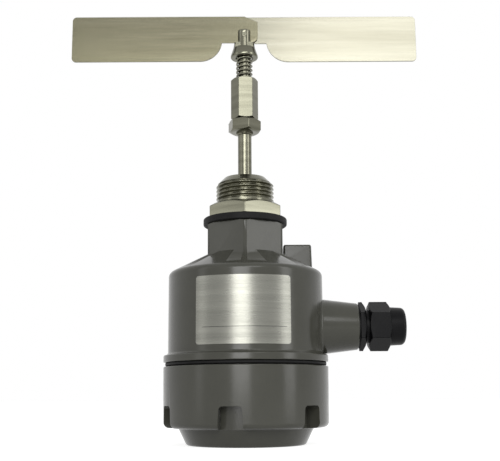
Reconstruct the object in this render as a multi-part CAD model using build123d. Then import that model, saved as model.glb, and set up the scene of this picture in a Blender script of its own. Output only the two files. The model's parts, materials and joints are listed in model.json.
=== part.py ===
from build123d import *
import os
from math import asin, cos, degrees, radians, sin, sqrt, tan

# Rotary paddle level switch, standing on its cover with the paddle up. Millimetres.
# +Z runs up the shaft, +X is the cable gland's side, and the origin is on the shaft's axis
# where the cover's flat base stands.

# Clearances
RUNNING = 0.05      # radial, of a shaft or pin that turns in its hole
GAP = 0.3           # between pieces that move past each other
SLIP = 0.1          # radial, of a pin in a blade and of a fixed piece dropped in its hole

# Screws
CHASSIS_SCREW_RADIUS = 1.5
CHASSIS_HEAD_RADIUS = 3.0
CHASSIS_HEAD_HEIGHT = 1.8
MOTOR_SCREW_RADIUS = 1.5
MOTOR_HEAD_RADIUS = 2.75
MOTOR_HEAD_HEIGHT = 2.0
PILLAR_SCREW_RADIUS = 1.25
PILLAR_HEAD_RADIUS = 2.5
PILLAR_HEAD_HEIGHT = 1.8
SWITCH_SCREW_RADIUS = 1.0
SWITCH_HEAD_RADIUS = 1.9
SWITCH_HEAD_HEIGHT = 1.3
EARTH_SCREW_RADIUS = 2.0
EARTH_HEAD_RADIUS = 3.6
EARTH_HEAD_HEIGHT = 2.4
SET_SCREW_RADIUS = 1.5
SCREW_GRIP = 7.0         # of a chassis screw in its boss

# Cover: a cast cap that screws over the housing's spigot
COVER_RADIUS = 46.0
COVER_HEIGHT = 42.5
COVER_FLOOR = 4.5
COVER_WALL = 3.8
SKIRT_DRAFT = 0.3
NOSE_STEP = 8.5          # radial, from the skirt in to the nose
NOSE_TAPER = 4.7         # radial, over the nose's height
NOSE_HEIGHT = 9.3
NOTCH_COUNT = 6
NOTCH_FIRST_ANGLE = -100.0
NOTCH_TOP = 21.3
NOTCH_TOP_WIDTH = 12.3
NOTCH_FOOT_WIDTH = 14.0
NOTCH_DEPTH = 8.0

# Housing: flange, barrel, sloping shoulder and hexagonal neck
SEAL_LINE = 2.3
FLANGE_THICKNESS = 4.0
SPIGOT_STEP = 5.0        # radial, from the flange in to the spigot
SPIGOT_LENGTH = 11.8
BARREL_STEP = 2.5        # radial, from the flange in to the barrel
HOUSING_WALL = 5.5
BARREL_HEIGHT = 45.7
SHOULDER_SLOPE = 26.9
NECK_ACROSS_FLATS = 42.0
NECK_FOOT_RADIUS = 21.6
NECK_HEIGHT = 16.8
CEILING_RADIUS = 22.0
CEILING_RISE = 2.5
CAVITY_EAVES = 6.5
BOSS_RADIUS = 4.0
BOSS_INSET = 6.0         # of the bosses' circle, in from the cavity's wall
BOSS_ANGLES = (50, 180, 310)

# Cast lug on the shoulder, behind the neck
LUG_INSET = 4.9          # from the barrel's side
LUG_WIDTH = 17.1
LUG_FRONT_Y = 3.0
LUG_BACK_Y = 17.0
LUG_HEIGHT = 17.9
LUG_ROOT = 2.0
LUG_DRAFT = 1.5

# Gland boss and cable gland, along +X
GLAND_HEIGHT = 64.5
GLAND_BOSS_ROOT_RADIUS = 15.4
GLAND_BOSS_RADIUS = 13.0
GLAND_BOSS_LENGTH = 19.4 # from the barrel's side
GLAND_THREAD_RADIUS = 10.0
GLAND_THREAD_LENGTH = 11.0
GLAND_HEX = 24.0
GLAND_WASHER = 0.8
GLAND_FLANGE = 3.4
GLAND_GROOVE = 1.8
GLAND_NUT_HEX_LENGTH = 11.5
GLAND_NUT_LENGTH = 20.6
GLAND_DOME_RADIUS = 10.75
GLAND_STEM_RADIUS = 9.2
GLAND_STEM_LENGTH = 12.0
GLAND_SEAT_DEPTH = 7.0
GLAND_CORE_RADIUS = 6.0
GLAND_SLOT = 0.9
GLAND_INSERT_RADIUS = 7.8
GLAND_INSERT_LENGTH = 14.5
GLAND_MOUTH_RADIUS = 7.0
CABLE_RADIUS = 4.5

# Name plate, a bare foil on the barrel's front
PLATE_CHORD = 49.6
PLATE_HEIGHT = 36.0
PLATE_FOOT = 4.1
PLATE_FOIL = 0.3
PLATE_CORNER = 1.5
PLATE_TURN = -1.7

# Process nipple with its parallel pipe thread, bearings and shaft seal
GASKET_RADIUS = 24.0
GASKET_THICKNESS = 4.1
STEM_RADIUS = 15.0
STEM_LENGTH = 18.0
NIPPLE_HEX = 40.0
NIPPLE_HEX_HEIGHT = 8.2
THREAD_RADIUS = 16.62
THREAD_LENGTH = 11.3
THREAD_LEAD = 4.6
BEARING_RADIUS = 11.0
BEARING_WIDTH = 7.0
BEARING_SPREAD = 17.0
BEARING_SHOULDER = 7.5
BALL_RADIUS = 1.98
BALL_CIRCLE = 7.6
BALL_COUNT = 7
RACE_OUTER = 9.2
RACE_INNER = 6.05
CIRCLIP_THICKNESS = 1.1
CIRCLIP_GROOVE = 0.6
CIRCLIP_WIDTH = 2.0
SPACER_WALL = 1.4
SEAL_RADIUS = 9.0
SEAL_WIDTH = 5.0
SEAL_COVER = 1.5
SHAFT_MOUTH_RADIUS = 5.6

# Shaft and what is screwed on its end
SHAFT_RADIUS = 4.0
SHAFT_GROOVE = 0.2
SHAFT_CLIP_THICKNESS = 0.8
SHAFT_CLIP_WIDTH = 2.2
SHAFT_THREAD_RADIUS = 5.0
SHAFT_THREAD_SHOWN = 1.4
SHAFT_REACH = 27.5
SHAFT_END_DEPTH = 12.0
LOCK_NUT_HEX = 17.0
LOCK_NUT_HEIGHT = 8.0
LOCK_NUT_TURN = -15.0
COUPLING_HEX = 14.0
COUPLING_LENGTH = 25.3
COUPLING_TURN = 5.4

# Spindle, collar and spring that hold the two blades level
SPINDLE_RADIUS = 4.0
SPINDLE_NECK_RADIUS = 3.6
SPINDLE_TAIL = 11.0
SPINDLE_CAP = 3.6
PIN_RADIUS = 1.5
PIN_ABOVE_COUPLING = 27.1
PIN_HEAD = 0.3
COLLAR_RADIUS = 8.1
COLLAR_TOP_RADIUS = 6.0
COLLAR_SHOULDER_RADIUS = 6.6
COLLAR_EAR_WIDTH = 7.0
COLLAR_HEIGHT = 9.3
COLLAR_CUP_DEPTH = 4.5
COLLAR_EAR_HEIGHT = 3.4
COLLAR_RIM = 1.4
SPRING_RADIUS = 4.4
SPRING_WIRE = 1.1
SPRING_TURNS = 6.5

# Blades
BLADE_REACH = 103.0
BLADE_THICKNESS = 1.2
BLADE_SIDE_GAP = 0.2
BLADE_LOW = 15.9
BLADE_HIGH = 12.4
BLADE_HEEL = 8.1
BLADE_SEAT = 4.3
BLADE_ARC = 13.3
BLADE_ARC_START = 26.5
BLADE_CORNER = 2.5
HEEL_CHAMFER_RUN = 7.9
HEEL_CHAMFER_DROP = 3.6

# Inner works, measured down from the shoulder
CHASSIS_DEPTH = 14.5
CHASSIS_ROOM = 1.5       # radial, round the plate
PLATE_THICKNESS = 1.5
WIRE_HOLE_RADIUS = 5.0
SWING_GAP = 2.3
SWING_RANGE = 25.0
BUSH_RADIUS = 8.0
BUSH_FLANGE_RADIUS = 10.5
BUSH_FLANGE = 1.2
BUSH_SPIGOT_RADIUS = 6.5
BUSH_BORE_RADIUS = 4.0
MOTOR_HEIGHT = 16.6
MOTOR_HUB = 1.2
MOTOR_HUB_RADIUS = 8.0
GEAR_CASE_STEP = 2.5     # radial, from the drum in to its lid
GEAR_CASE_THICKNESS = 1.6
MOTOR_SHAFT_RADIUS = 3.0
MOTOR_SHAFT_DEPTH = 4.6
MOTOR_EAR_STAND = 3.5    # of the ears' circle, out from the drum
MOTOR_EAR_WIDTH = 7.6
MOTOR_EAR_ANGLES = (70, 250)
COUPLER_RADIUS = 8.0
COUPLER_LENGTH = 15.5
COUPLER_HEIGHT = 1.0
COUPLER_ROOM = 4.0
SHAFT_SPLIT = 0.5        # between the ends of the two shafts
STOP_INSET = 4.5         # in from the swing plate's rim
STOP_ANGLE = 30.0
STOP_RADIUS = 2.0
RETURN_SPRING_RADIUS = 1.7
RETURN_SPRING_WIRE = 0.6
RETURN_SPRING_DEPTH = 4.0
RETURN_LOOP = 1.7
HOOK_INSET = 8.5         # in from the cavity's wall
HOOK_ANGLE = 322.0
HOOK_RADIUS = 1.0
HOOK_ARM = 4.2
POST_INSET = 4.5         # in from the cavity's wall
POST_ANGLE = 295.0
POST_RADIUS = 1.2
POST_END = 3.0           # of post and hook, past the spring

# Limit switches that the swinging motor works
SWITCH_SPREAD = 25.0      # degrees, each side of the X axis
SWITCH_INSET = 10.5      # of the lever's side, in from the cavity's wall
SWING_ROOM = 5.0         # from the swing plate's rim out to the switches
MOTOR_ROOM = 3.0         # from the drum out to the switches
SWITCH_LENGTH = 12.8
SWITCH_DEPTH = 6.5
SWITCH_THICKNESS = 5.8
SWITCH_SCREW_SPREAD = 6.5
SWITCH_SCREW_INSET = 2.2
SWITCH_CORNER = 0.5
SWITCH_TAG_LENGTH = 3.0
SWITCH_TAG_THICKNESS = 0.5
SWITCH_TAG_WIDTH = 1.6
CHEEK_DEPTH = 2.2
CHEEK_WIDTH = 1.8
LEVER_PIVOT_INSET = 1.1
LEVER_PIVOT_Y = 5.2
LEVER_LENGTH = 11.3
LEVER_WIDTH = 3.2
LEVER_SHEET = 0.4
LEVER_EYE_RADIUS = 0.75
LEVER_PIN_RADIUS = 0.4
LEVER_TILT = 10.0
PLUNGER_RADIUS = 0.8
PLUNGER_Y = 1.8
PLUNGER_LENGTH = 2.0
PLUNGER_ROOM = 1.2
NOSE_ROOM = 3.1          # from the cam nose's centre out to the switches
NOSE_TIP_RADIUS = 1.2
NOSE_LEAD = 11.64        # across, from the switch's middle to the nose at rest

# Terminal board below the motor, facing the cover
BOARD_DROP = 6.4
BOARD_ROOM = 3.0         # radial, round the board
BOARD_THICKNESS = 1.6
BOARD_WINDOW_RADIUS = 12.0
STANDOFF_HEX = 5.0
STANDOFF_INSET = 4.7     # of the pillars' circle, in from the cavity's wall
STANDOFF_ANGLES = (32, 122, 229)
TERMINAL_POLES = 5
TERMINAL_PITCH = 7.6
TERMINAL_DEPTH = 11.0
TERMINAL_HEIGHT = 10.0
TERMINAL_ROW_INSET = 21.5 # in from the board's rim
TERMINAL_ROW_X = -3.0
TERMINAL_WELL_RADIUS = 2.4
TERMINAL_WELL_DEPTH = 6.0
TERMINAL_MOUTH_WIDTH = 4.4
TERMINAL_MOUTH_HEIGHT = 4.0
TERMINAL_SCREW_RADIUS = 2.0
TERMINAL_SCREW_DROP = 2.0
TERMINAL_SCREW_SLOT = 0.7
EARTH_ANGLE = 335.0
EARTH_HEIGHT = 9.2
EARTH_PAD = 3.0
EARTH_PAD_RADIUS = 4.5

# Radii that follow from the sizes above
nose_radius = COVER_RADIUS - NOSE_STEP
nose_foot_radius = nose_radius - NOSE_TAPER
notch_floor_radius = COVER_RADIUS - NOTCH_DEPTH
flange_radius = COVER_RADIUS
spigot_radius = flange_radius - SPIGOT_STEP
barrel_radius = flange_radius - BARREL_STEP
cavity_radius = barrel_radius - HOUSING_WALL
lug_outer_x = barrel_radius - LUG_INSET
gland_boss_reach = barrel_radius + GLAND_BOSS_LENGTH
boss_circle = cavity_radius - BOSS_INSET
chassis_radius = cavity_radius - CHASSIS_ROOM
standoff_circle = cavity_radius - STANDOFF_INSET
board_radius = cavity_radius - BOARD_ROOM
terminal_row_y = board_radius - TERMINAL_ROW_INSET
switch_circle = cavity_radius - SWITCH_INSET
swing_radius = switch_circle - SWING_ROOM
stop_circle = swing_radius - STOP_INSET
nose_circle = switch_circle - NOSE_ROOM
switch_angles = {"signal": 180 - SWITCH_SPREAD, "stop": 180 + SWITCH_SPREAD}
nose_lead = degrees(asin(NOSE_LEAD / nose_circle))
motor_radius = switch_circle - MOTOR_ROOM
gear_case_radius = motor_radius - GEAR_CASE_STEP
motor_ear_circle = motor_radius + MOTOR_EAR_STAND
hook_circle = cavity_radius - HOOK_INSET
post_circle = cavity_radius - POST_INSET

# Levels up the axis that follow from the sizes above
flange_low = COVER_HEIGHT + SEAL_LINE
flange_high = flange_low + FLANGE_THICKNESS
spigot_low = flange_low - SPIGOT_LENGTH
shoulder_low = flange_high + BARREL_HEIGHT
shoulder_rise = (barrel_radius - NECK_FOOT_RADIUS) * tan(radians(SHOULDER_SLOPE))
neck_low = shoulder_low + shoulder_rise
neck_top = neck_low + NECK_HEIGHT
gasket_top = neck_top + GASKET_THICKNESS
nipple_hex_top = gasket_top + NIPPLE_HEX_HEIGHT
thread_top = nipple_hex_top + THREAD_LENGTH
nipple_top = thread_top + THREAD_LEAD
stem_low = gasket_top - STEM_LENGTH
bearing_high = nipple_top - BEARING_SHOULDER
seal_high = nipple_top - SEAL_COVER
lower_bearing_low = bearing_high - 2 * BEARING_WIDTH - BEARING_SPREAD
lock_nut_low = nipple_top + SHAFT_REACH
coupling_low = lock_nut_low + LOCK_NUT_HEIGHT
coupling_top = coupling_low + COUPLING_LENGTH
shaft_top = coupling_low + SHAFT_END_DEPTH
pin_height = coupling_top + PIN_ABOVE_COUPLING
spindle_low = coupling_top - SPINDLE_TAIL
spindle_top = pin_height + SPINDLE_CAP
collar_top = pin_height - BLADE_SEAT - GAP
collar_low = collar_top - COLLAR_HEIGHT
cup_top = collar_low + COLLAR_CUP_DEPTH
chassis_low = shoulder_low - CHASSIS_DEPTH
chassis_high = chassis_low + PLATE_THICKNESS
bush_flange_low = chassis_high + GAP
bush_top = bush_flange_low + BUSH_FLANGE
coupler_low = bush_top + COUPLER_HEIGHT
coupler_middle = coupler_low + COUPLER_LENGTH / 2
shaft_split = coupler_middle - SHAFT_SPLIT
swing_high = chassis_low - SWING_GAP
swing_low = swing_high - PLATE_THICKNESS
post_low = swing_low - RETURN_SPRING_DEPTH - POST_END
gear_case_low = swing_low - GEAR_CASE_THICKNESS
motor_low = gear_case_low - MOTOR_HEIGHT
board_high = motor_low - BOARD_DROP
board_low = board_high - BOARD_THICKNESS
ceiling = shoulder_low + CEILING_RISE
eaves = shoulder_low - CAVITY_EAVES
gland_flange_start = gland_boss_reach + GLAND_WASHER
gland_flange_end = gland_flange_start + GLAND_FLANGE
gland_nut_start = gland_flange_end + GLAND_GROOVE
gland_nut_end = gland_nut_start + GLAND_NUT_LENGTH
lever_pivot = switch_circle - LEVER_PIVOT_INSET
lever_lean = (LEVER_PIVOT_Y - PLUNGER_Y) * tan(radians(LEVER_TILT))
lever_back = LEVER_SHEET / 2 / cos(radians(LEVER_TILT))
plunger_out = LEVER_PIVOT_INSET + lever_lean - lever_back - GAP

UP = (Align.CENTER, Align.CENTER, Align.MIN)


def rod(radius, low, high, x=0.0, y=0.0):
    """Upright cylinder between two heights."""
    return Pos(x, y, low) * Cylinder(radius, high - low, align=UP)


def hexagon(across_flats, low, high, turn=0.0):
    """Upright hexagonal bar."""
    outline = RegularPolygon(across_flats / 2, 6, major_radius=False, rotation=turn)
    return Pos(0, 0, low) * extrude(outline, high - low)


def turned(points, rounds=()):
    """Solid turned about Z from (radius, height) points, with some of its corners rounded."""
    profile = make_face(Polyline(*points, close=True))
    for corner, radius in rounds:
        vertex = profile.vertices().sort_by_distance(Vector(*corner, 0))[0]
        profile = fillet(vertex, radius)
    return revolve(Plane.XZ * profile, Axis.Z)


def chamfered_bar(across_flats, low, high, top=True, foot=True):
    """The turned blank that gives a hexagon's corners their 30 degree chamfers."""
    corner = across_flats / sqrt(3) + SLIP
    face = 0.47 * across_flats
    drop = (corner - face) * tan(radians(30))
    outline = [(0, low), (face if foot else corner, low), (corner, low + (drop if foot else 0))]
    outline += [(corner, high - (drop if top else 0)), (face if top else corner, high), (0, high)]
    points = [p for n, p in enumerate(outline) if n == 0 or p != outline[n - 1]]
    return turned(points)


def around(solid, angle):
    """The solid turned about the switch's main axis."""
    return Rot(0, 0, angle) * solid


def sideways(solid):
    """A solid built along +Z laid along +X at the height of the gland."""
    return Pos(0, 0, GLAND_HEIGHT) * Rot(0, 90, 0) * solid


def spot(radius, angle):
    """X and Y of a point on a circle about the main axis."""
    return radius * cos(radians(angle)), radius * sin(radians(angle))


def cover():
    """Screwed cap: nose, skirt with six finger notches, and a bored inside."""
    skirt_foot = COVER_RADIUS - SKIRT_DRAFT
    outside = [(0, 0), (nose_foot_radius, 0), (nose_radius, NOSE_HEIGHT)]
    outside += [(skirt_foot, NOSE_HEIGHT + SKIRT_DRAFT), (COVER_RADIUS, COVER_HEIGHT), (0, COVER_HEIGHT)]
    rounds = [((nose_foot_radius, 0), 1.8), ((nose_radius, NOSE_HEIGHT), 1.0)]
    rounds += [((skirt_foot, NOSE_HEIGHT + SKIRT_DRAFT), 3.0), ((COVER_RADIUS, COVER_HEIGHT), 0.6)]
    shell = turned(outside, rounds)
    bore = notch_floor_radius - COVER_WALL
    thread = spigot_radius + GAP
    thread_foot = spigot_low - 2.0
    inside = [(0, COVER_FLOOR), (nose_foot_radius - COVER_WALL, COVER_FLOOR)]
    inside += [(bore, NOSE_HEIGHT + 2.0), (bore, thread_foot - 1.0), (thread, thread_foot)]
    inside += [(thread, COVER_HEIGHT + 1), (0, COVER_HEIGHT + 1)]
    shell -= turned(inside, [((nose_foot_radius - COVER_WALL, COVER_FLOOR), 2.0)])
    outline = make_face(Polyline(
        (-NOTCH_FOOT_WIDTH / 2, NOSE_HEIGHT - 4), (NOTCH_FOOT_WIDTH / 2, NOSE_HEIGHT - 4),
        (NOTCH_TOP_WIDTH / 2, NOTCH_TOP), (-NOTCH_TOP_WIDTH / 2, NOTCH_TOP), close=True))
    outline = fillet(outline.vertices().group_by(Axis.Y)[-1], 2.0)
    notch = extrude(Plane.YZ * outline, COVER_RADIUS + 5) - rod(notch_floor_radius, 0, COVER_HEIGHT)
    for n in range(NOTCH_COUNT):
        shell -= around(notch, NOTCH_FIRST_ANGLE + n * 360 / NOTCH_COUNT)
    return shell


def cover_seal():
    """Rubber ring that the cover squeezes against the flange."""
    low = COVER_HEIGHT + GAP
    inner = spigot_radius
    outer = COVER_RADIUS - 1.0
    corners = [(inner, low), (outer, low), (outer, flange_low), (inner, flange_low)]
    return turned(corners, [((outer, low), 0.8), ((outer, flange_low), 0.8)])


def lug():
    """Plain cast block on the shoulder, its sides drawn in towards the top."""
    depth = LUG_BACK_Y - LUG_FRONT_Y
    middle = Pos(lug_outer_x - LUG_WIDTH / 2, LUG_FRONT_Y + depth / 2, shoulder_low - LUG_ROOT)
    block = extrude(middle * Rectangle(LUG_WIDTH, depth), LUG_HEIGHT + LUG_ROOT, taper=LUG_DRAFT)
    edges = block.edges().filter_by(Axis.Z, reverse=True).group_by(Axis.Z)[-1]
    return fillet(edges, 1.2)


def gland_boss():
    """Tapered boss on the barrel's side that carries the gland."""
    root = barrel_radius - 6
    corners = [(0, root), (GLAND_BOSS_ROOT_RADIUS, root), (GLAND_BOSS_RADIUS, gland_boss_reach)]
    corners.append((0, gland_boss_reach))
    return sideways(turned(corners, [((GLAND_BOSS_RADIUS, gland_boss_reach), 0.6)]))


def housing():
    """Cast housing with its spigot, flange, barrel, shoulder, neck, lug and gland boss."""
    points = [(0, spigot_low), (spigot_radius, spigot_low), (spigot_radius, flange_low)]
    points += [(flange_radius, flange_low), (flange_radius, flange_high), (barrel_radius, flange_high)]
    points += [(barrel_radius, shoulder_low), (NECK_FOOT_RADIUS, neck_low), (0, neck_low)]
    rounds = [((flange_radius, flange_high), 0.6), ((flange_radius, flange_low), 0.4)]
    rounds += [((barrel_radius, flange_high), 1.4), ((barrel_radius, shoulder_low), 3.0)]
    rounds += [((spigot_radius, spigot_low), 0.8)]
    body = turned(points, rounds)
    neck_foot = neck_low - shoulder_rise / 2
    neck = hexagon(NECK_ACROSS_FLATS, neck_foot, neck_top, 30)
    body += neck & chamfered_bar(NECK_ACROSS_FLATS + 1.6, neck_foot, neck_top, foot=False)
    body += lug()
    body += gland_boss()
    cavity = [(0, spigot_low - 1), (cavity_radius, spigot_low - 1), (cavity_radius, eaves)]
    cavity += [(CEILING_RADIUS, ceiling), (0, ceiling)]
    body -= turned(cavity, [((cavity_radius, eaves), 3.0), ((CEILING_RADIUS, ceiling), 3.0)])
    for angle in BOSS_ANGLES:
        x, y = spot(boss_circle, angle)
        body += rod(BOSS_RADIUS, chassis_high, shoulder_low + 0.5, x, y)
        body -= rod(CHASSIS_SCREW_RADIUS, chassis_high, chassis_high + SCREW_GRIP + 1, x, y)
    pad_end = cavity_radius - EARTH_PAD
    pad_height = board_high + EARTH_HEIGHT - BOARD_THICKNESS
    pad = Pos(0, 0, pad_height) * Rot(0, 90, 0) * rod(EARTH_PAD_RADIUS, pad_end, cavity_radius + 1)
    hole = Pos(0, 0, pad_height) * Rot(0, 90, 0) * rod(EARTH_SCREW_RADIUS, pad_end, cavity_radius + EARTH_PAD)
    body += around(pad, EARTH_ANGLE)
    body -= around(hole, EARTH_ANGLE)
    body -= sideways(rod(GLAND_THREAD_RADIUS, cavity_radius - 8, gland_boss_reach + 1))
    body -= rod(STEM_RADIUS, stem_low - 1.5, neck_top + 1)
    body -= rod(COUPLER_RADIUS + COUPLER_ROOM, ceiling - 1, neck_top)
    return body


def name_plate():
    """Thin foil bent round the barrel, with nothing printed on it."""
    foil = rod(barrel_radius + PLATE_FOIL, flange_high, shoulder_low)
    foil -= rod(barrel_radius, flange_high, shoulder_low)
    middle = flange_high + PLATE_FOOT + PLATE_HEIGHT / 2
    outline = Plane.XZ * Pos(0, middle) * RectangleRounded(PLATE_CHORD, PLATE_HEIGHT, PLATE_CORNER)
    window = extrude(outline, barrel_radius + 2)
    return around(foil & window, PLATE_TURN)


def gland_washer():
    """Flat seal under the gland's flange."""
    start, end = gland_boss_reach, gland_flange_start
    return sideways(rod(GLAND_HEX / 2, start, end) - rod(GLAND_THREAD_RADIUS, start, end))


def gland_body():
    """Nylon gland body: threaded spigot, hexagonal flange and the split stem under the nut."""
    start = gland_boss_reach - GLAND_THREAD_LENGTH
    stem_end = gland_flange_end + GLAND_STEM_LENGTH
    flange = hexagon(GLAND_HEX, gland_flange_start, gland_flange_end)
    flange &= chamfered_bar(GLAND_HEX, gland_flange_start, gland_flange_end, foot=False)
    body = rod(GLAND_THREAD_RADIUS, start, gland_flange_start) + flange
    body += rod(GLAND_STEM_RADIUS, gland_flange_end, stem_end)
    seat = stem_end - GLAND_SEAT_DEPTH
    body -= rod(GLAND_CORE_RADIUS, start, seat)
    body -= rod(GLAND_INSERT_RADIUS, seat, stem_end)
    for n in range(4):
        slot = Pos(0, 0, seat + 1.5) * Box(3 * GLAND_STEM_RADIUS, GLAND_SLOT, GLAND_SEAT_DEPTH, align=UP)
        body -= around(slot, 22.5 + n * 45)
    return sideways(body)


def gland_insert():
    """Rubber sleeve that grips the cable."""
    start = gland_flange_end + GLAND_STEM_LENGTH - GLAND_SEAT_DEPTH
    end = start + GLAND_INSERT_LENGTH
    outer, mouth = GLAND_INSERT_RADIUS, GLAND_MOUTH_RADIUS
    points = [(CABLE_RADIUS, start), (outer, start), (outer, start + GLAND_SEAT_DEPTH + 0.5)]
    points += [(mouth - SLIP, start + GLAND_SEAT_DEPTH + 2.5)]
    points += [(mouth - SLIP, end), (CABLE_RADIUS, end)]
    return sideways(turned(points, [((mouth - SLIP, end), 1.0)]))


def gland_nut():
    """Dome nut that squeezes the insert."""
    start, end = gland_nut_start, gland_nut_end
    hex_end = start + GLAND_NUT_HEX_LENGTH
    corner = GLAND_HEX / sqrt(3)
    dome = [(0, start), (corner - 1.0, start), (corner, start + 0.6), (corner, hex_end)]
    dome += [(GLAND_DOME_RADIUS + 0.4, hex_end + 1.7), (GLAND_DOME_RADIUS, hex_end + 2.2)]
    dome += [(GLAND_DOME_RADIUS - 0.4, end), (0, end)]
    blank = turned(dome, [((GLAND_DOME_RADIUS - 0.4, end), 2.6)])
    outside = hexagon(GLAND_HEX, start, hex_end + 2.2) + rod(GLAND_DOME_RADIUS, hex_end, end)
    nut = blank & outside
    stem_end = gland_flange_end + GLAND_STEM_LENGTH
    room = [(0, start), (GLAND_STEM_RADIUS, start), (GLAND_STEM_RADIUS, stem_end + 0.6)]
    room += [(GLAND_MOUTH_RADIUS, stem_end + 3.2), (GLAND_MOUTH_RADIUS, end), (0, end)]
    return sideways(nut - turned(room))


def process_gasket():
    """Flat rubber gasket between the neck and the nipple's hexagon."""
    inner = STEM_RADIUS + SLIP
    points = [(inner, neck_top), (GASKET_RADIUS, neck_top), (GASKET_RADIUS, gasket_top), (inner, gasket_top)]
    return turned(points, [((GASKET_RADIUS, neck_top), 0.8), ((GASKET_RADIUS, gasket_top), 0.8)])


def process_nipple():
    """Stainless nipple: stem in the neck, hexagon, pipe thread and the bearing bores."""
    head = hexagon(NIPPLE_HEX, gasket_top, nipple_hex_top, 30)
    head &= chamfered_bar(NIPPLE_HEX, gasket_top, nipple_hex_top, foot=False)
    thread = [(0, nipple_hex_top), (THREAD_RADIUS, nipple_hex_top), (THREAD_RADIUS, thread_top)]
    thread += [(THREAD_RADIUS - THREAD_LEAD, nipple_top), (0, nipple_top)]
    body = head + turned(thread) + rod(STEM_RADIUS, stem_low, gasket_top)
    body -= rod(BEARING_RADIUS, stem_low, bearing_high)
    body -= rod(SEAL_RADIUS, bearing_high, seal_high)
    body -= rod(SHAFT_MOUTH_RADIUS, seal_high, nipple_top)
    groove = rod(BEARING_RADIUS + CIRCLIP_GROOVE, lower_bearing_low - CIRCLIP_THICKNESS, lower_bearing_low)
    return body - groove


def race_groove(low):
    """Ball track of one bearing, cut from both of its rings."""
    return Pos(0, 0, low + BEARING_WIDTH / 2) * Torus(BALL_CIRCLE, BALL_RADIUS + RUNNING)


def bearing_outer(low):
    """Outer ring of a ball bearing."""
    ring = rod(BEARING_RADIUS, low, low + BEARING_WIDTH) - rod(RACE_OUTER, low, low + BEARING_WIDTH)
    return ring - race_groove(low)


def bearing_inner(low):
    """Inner ring of a ball bearing."""
    ring = rod(RACE_INNER, low, low + BEARING_WIDTH) - rod(SHAFT_RADIUS, low, low + BEARING_WIDTH)
    return ring - race_groove(low)


def bearing_balls(low):
    """Balls of one bearing."""
    ball = Pos(BALL_CIRCLE, 0, low + BEARING_WIDTH / 2) * Sphere(BALL_RADIUS)
    return [around(ball, n * 360 / BALL_COUNT) for n in range(BALL_COUNT)]


def bearing_spacer():
    """Sleeve that keeps the two outer rings apart."""
    low, high = lower_bearing_low + BEARING_WIDTH, bearing_high - BEARING_WIDTH
    return rod(BEARING_RADIUS, low, high) - rod(BEARING_RADIUS - SPACER_WALL, low, high)


def bearing_circlip():
    """Inside circlip that keeps the lower bearing in."""
    low, high = lower_bearing_low - CIRCLIP_THICKNESS, lower_bearing_low
    outer = BEARING_RADIUS + CIRCLIP_GROOVE
    ring = rod(outer, low, high) - rod(outer - CIRCLIP_WIDTH, low, high)
    return ring - Pos(BEARING_RADIUS, 0, low) * Box(2 * CIRCLIP_WIDTH, 7, 4, align=UP)


def shaft_seal():
    """Lip seal round the shaft at the nipple's mouth."""
    low, high, lip = seal_high - SEAL_WIDTH, seal_high, SHAFT_RADIUS + RUNNING
    points = [(SEAL_RADIUS, low), (SEAL_RADIUS, high), (lip + 0.8, high), (lip, high - 1.8)]
    points += [(lip + 0.5, high - 2.8), (lip + 1.2, high - 1.4), (SEAL_RADIUS - 1.4, high - 1.2)]
    points.append((SEAL_RADIUS - 1.4, low))
    return turned(points)


def clip_levels():
    """Where the shaft's two circlips lie: against the facing sides of the inner rings."""
    return bearing_high - BEARING_WIDTH - SHAFT_CLIP_THICKNESS, lower_bearing_low + BEARING_WIDTH


def main_shaft():
    """Stainless shaft through the bearings, with a wider threaded end."""
    thread_low = lock_nut_low - SHAFT_THREAD_SHOWN
    points = [(0, coupler_middle), (SHAFT_RADIUS - 0.4, coupler_middle)]
    points += [(SHAFT_RADIUS, coupler_middle + 0.4), (SHAFT_RADIUS, thread_low)]
    points += [(SHAFT_THREAD_RADIUS - 0.6, thread_low), (SHAFT_THREAD_RADIUS, thread_low + 0.6)]
    points += [(SHAFT_THREAD_RADIUS, shaft_top - 0.8), (SHAFT_THREAD_RADIUS - 0.8, shaft_top), (0, shaft_top)]
    shaft = turned(points)
    for low in clip_levels():
        high = low + SHAFT_CLIP_THICKNESS
        shaft -= rod(SHAFT_RADIUS + 1, low, high) - rod(SHAFT_RADIUS - SHAFT_GROOVE, low, high)
    return shaft


def shaft_circlips():
    """Two outside circlips in the shaft's grooves."""
    clips = []
    for low in clip_levels():
        high, inner = low + SHAFT_CLIP_THICKNESS, SHAFT_RADIUS - SHAFT_GROOVE
        ring = rod(inner + SHAFT_CLIP_WIDTH, low, high) - rod(inner, low, high)
        mouth = Box(2 * SHAFT_CLIP_WIDTH, 5, 3, align=UP)
        clips.append(ring - Pos(SHAFT_RADIUS + 1, 0, low) * mouth)
    return clips


def lock_nut():
    """Nut that locks the coupling on the shaft."""
    nut = hexagon(LOCK_NUT_HEX, lock_nut_low, coupling_low, LOCK_NUT_TURN)
    nut &= chamfered_bar(LOCK_NUT_HEX, lock_nut_low, coupling_low)
    return nut - rod(SHAFT_THREAD_RADIUS, lock_nut_low, coupling_low)


def coupling_nut():
    """Long hexagon that joins the shaft and the spindle."""
    nut = hexagon(COUPLING_HEX, coupling_low, coupling_top, COUPLING_TURN)
    nut &= chamfered_bar(COUPLING_HEX, coupling_low, coupling_top)
    nut -= rod(SHAFT_THREAD_RADIUS, coupling_low, shaft_top + 1)
    return nut - rod(SPINDLE_RADIUS, shaft_top, coupling_top)


def slot_half_width():
    """Half the spindle's slot: both blades and the gaps beside them."""
    return BLADE_THICKNESS + 1.5 * BLADE_SIDE_GAP


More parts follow.
